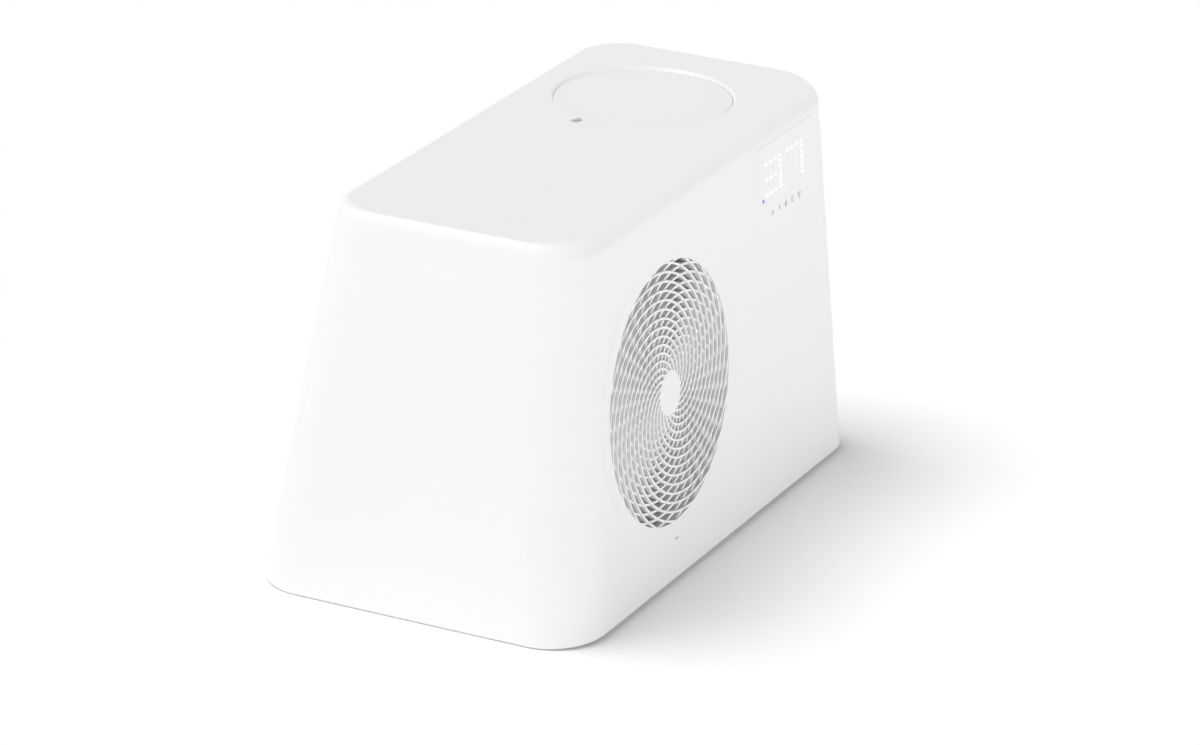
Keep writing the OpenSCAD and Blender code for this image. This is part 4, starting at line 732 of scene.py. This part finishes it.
X, Y, Z = Vector((1, 0, 0)), Vector((0, 1, 0)), Vector((0, 0, 1))
OUT = (PLATE.to_3x3() @ Z).normalized()
WIDE, NARROW = 10.05 * MM, 7.05 * MM
PORT_Y, PORT_CLAMP_Z = -62 * MM, -42 * MM
PORTS = ((40, WIDE), (-40, WIDE), (0, NARROW))
places = [(PLATE @ Vector((x * MM, PORT_Y, PORT_CLAMP_Z)), OUT, r) for x, r in PORTS]
places += [(Vector(centre) * MM, along, WIDE) for centre, along in (
    ((149.3, 77, 345), Y), ((149.3, -11.4, 85.5), Z),
    ((270, -146, 62), Y), ((270, -102, 132), Z),
    ((61.5, 82, 150), X), ((-5, 82, 274.5), Z),
)]
bm = bmesh.new()
for centre, along, r in places:
    clamp(bm, centre, along, r)
finish_piece("hose_clamps", bm, zinc, "chiller")
print("hose clamps:", len(places))

# %% [markdown]
# The power inlet's three blades are nickel-plated brass, stamped, with a blunt tip. The rocker carries the
# two usual marks, a bar for on and a ring for off, pad-printed in white. They are thin solids set on the
# rocker's two faces at its resting tilt, and attached to the rocker's body.

# %% Contact blades and rocker marks
brass, tree, skin, place = start("Brass, nickel-plated", "C9C4B4", roughness=0.25, metallic=1.0)
wear = add(tree, "TexNoise", {"Vector": place}, scale=1 / (1.5 * MM), detail=2.0)
rough = add(tree, "MapRange", {"Value": wear.outputs["Fac"]}, to_min=0.28, to_max=0.36)
tree.links.new(rough.outputs["Result"], skin.inputs["Roughness"])
paint, tree, skin, place = start("Pad-printing ink, white", "F2F2F0", roughness=0.45)
dots = add(tree, "TexNoise", {"Vector": place}, scale=1 / (0.4 * MM), detail=1.0)
rough = add(tree, "MapRange", {"Value": dots.outputs["Fac"]}, to_min=0.4, to_max=0.5)
tree.links.new(rough.outputs["Result"], skin.inputs["Roughness"])

INLET_Y = 52
SOCKET_Y, ROCKER_Y = INLET_Y - 14, INLET_Y + 15
BLADE_PITCH, BLADE_HALF_W, BLADE_HALF_H, MIDDLE_LIFT = 7, 1.06, 2.06, 2
bm = bmesh.new()
for k in (-1, 0, 1):
    x, y = k * BLADE_PITCH, SOCKET_Y + (0 if k else MIDDLE_LIFT)
    rings = []
    for shrink, z in ((0, -14.2), (0, -5), (0.55, -3.95)):
        corners = bar(BLADE_HALF_W - shrink, BLADE_HALF_H - shrink)
        rings.append([bm.verts.new(PLATE @ (Vector((x + a, y + b, z)) * MM)) for a, b in corners])
    bridge(bm, rings)
    close_ends(bm, rings)
finish_piece("power_blades", bm, brass, "chiller", smooth_it=False)

ROCKER_REST, WING_LEAN = math.radians(-10), math.radians(14.8)
WING_Y, WING_Z, INK_T = 4.25 * MM, 4.4 * MM, 0.05 * MM
RING_IN, RING_OUT = 1.2 * MM, 1.9 * MM
PIVOT = PLATE @ Matrix.Translation((0, ROCKER_Y * MM, -2 * MM)) @ Matrix.Rotation(ROCKER_REST, 4, "X")


def wing(side):
    """The middle of one of the rocker's two faces."""
    return PIVOT @ Matrix.Translation((0, side * WING_Y, WING_Z)) @ Matrix.Rotation(side * WING_LEAN, 4, "X")


bm = bmesh.new()
raise_outline(bm, [(x * MM, y * MM) for x, y in bar(0.35, 1.7)], -INK_T, INK_T, wing(1))
ring = [(RING_IN, -INK_T), (RING_OUT, -INK_T), (RING_OUT, INK_T), (RING_IN, INK_T), (RING_IN, -INK_T)]
turn_profile(bm, ring, 28, wing(-1))
finish_piece("rocker_marks", bm, paint, "rocker", smooth_it=False)
print("three blades, two marks")

# %% [markdown]
# ## Studio
#
# The photograph is taken from the left, well above the object, through a long lens. Camera place and lens
# were worked out from the edges of the casing. The light is a white room: bright walls, brightest on the
# window side, which faces the grille and the left end, and a dim ceiling. One broad soft lamp stands high
# behind the chiller and throws the shadow that lies on the floor in front. It all but misses the front
# face, so the window side lights that.

# %% Camera
camera = bpy.data.cameras.new("studio camera")
camera.sensor_width = 36
camera.lens = 174.19
camera.clip_end = 50
right = Vector((0.44522, -0.89513, 0.02298))
back = Vector((-0.83639, -0.40657, 0.36764))
up = back.cross(right)
eye = bpy.data.objects.new("studio camera", camera)
turn = Matrix((right, up, back)).transposed().to_4x4()
eye.matrix_world = Matrix.Translation((-5.02761, -2.48577, 2.37025)) @ turn
bpy.context.scene.collection.objects.link(eye)
bpy.context.scene.camera = eye
print("camera stands %.2f m from the chiller" % eye.location.length)

# %% Room light
world = bpy.data.worlds.new("white room")
bpy.context.scene.world = world
world.use_nodes = True
tree = world.node_tree
tree.nodes.clear()
direction = add(tree, "TexCoord").outputs["Generated"]
height = add(tree, "SeparateXYZ", {"Vector": direction})
wall_light = add(tree, "MapRange", {"Value": height.outputs["Z"]}, from_max=0.35, to_min=3.0, to_max=0.26)
towards = add(tree, "VectorMath", {0: direction}, operation="DOT_PRODUCT")
WINDOW_SIDE = (-0.5, -0.87, 0)
towards.inputs[1].default_value = WINDOW_SIDE
side_light = add(tree, "MapRange", {"Value": towards.outputs["Value"]},
                 from_min=-1.0, to_min=0.35, to_max=1.25)
light = add(tree, "Math", {0: wall_light.outputs["Result"], 1: side_light.outputs["Result"]},
            operation="MULTIPLY")
room = add(tree, "Background", {"Strength": light.outputs[0]}, color=(1, 1, 1, 1))
white = add(tree, "Background", color=(1, 1, 1, 1), strength=1.0)
ray = add(tree, "LightPath")
seen = add(tree, "Math", {0: ray.outputs["Is Camera Ray"], 1: ray.outputs["Is Transmission Ray"]},
           operation="MAXIMUM")
seen = add(tree, "Math", {0: seen.outputs[0], 1: ray.outputs["Is Glossy Ray"]}, operation="MAXIMUM")
choice = add(tree, "MixShader", {0: seen.outputs[0], 1: room.outputs[0], 2: white.outputs[0]})
add(tree, "OutputWorld", {"Surface": choice.outputs[0]})
print("room light from 3.0 at the horizon to 0.26 overhead")

# %% Soft lamp
lamp = bpy.data.lights.new("soft lamp", "SUN")
lamp.energy = 2.12
lamp.angle = math.radians(36)
sun = bpy.data.objects.new("soft lamp", lamp)
TOWARDS_LAMP = Vector((-0.12, 0.36, 0.925))
sun.rotation_euler = TOWARDS_LAMP.to_track_quat("Z", "Y").to_euler()
bpy.context.scene.collection.objects.link(sun)
print("lamp energy", lamp.energy)

# %% [markdown]
# ## Floor
#
# A matt paper sweep. It keeps the shadow, and a little light of its own lifts it to the white of the
# photograph's background and evens out the foot of the front face.

# %% Floor
paper, tree, skin, place = start("Paper sweep, white", "FDFDFD", roughness=0.9)
pulp = add(tree, "TexNoise", {"Vector": place}, scale=1 / (2 * MM), detail=2.0)
fine = add(tree, "MapRange", {"Value": pulp.outputs["Fac"]}, to_min=0.86, to_max=0.94)
tree.links.new(fine.outputs["Result"], skin.inputs["Roughness"])
skin.inputs["Emission Color"].default_value = (1, 1, 1, 1)
skin.inputs["Emission Strength"].default_value = 0.09
bm = bmesh.new()
bmesh.ops.create_grid(bm, x_segments=8, y_segments=8, size=12)
mesh = bpy.data.meshes.new("floor")
bm.to_mesh(mesh)
bm.free()
floor = bpy.data.objects.new("floor", mesh)
bpy.context.scene.collection.objects.link(floor)
mesh.materials.append(paper)
floor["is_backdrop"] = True
bpy.context.scene.view_settings.view_transform = "Standard"
print("floor laid")

# %% [markdown]
#
# The dressed object must stay as large as its frame. Both boxes are compared, and the growth
# of the dressed box at each side is printed.

# %% Print the growth at each side
dressed_box = [list(corner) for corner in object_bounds()]
growth = [round((dressed_box[i][k] - cad_box[i][k]) / MM, 2) for i in (0, 1) for k in range(3)]
print("growth in mm at each side:", growth)
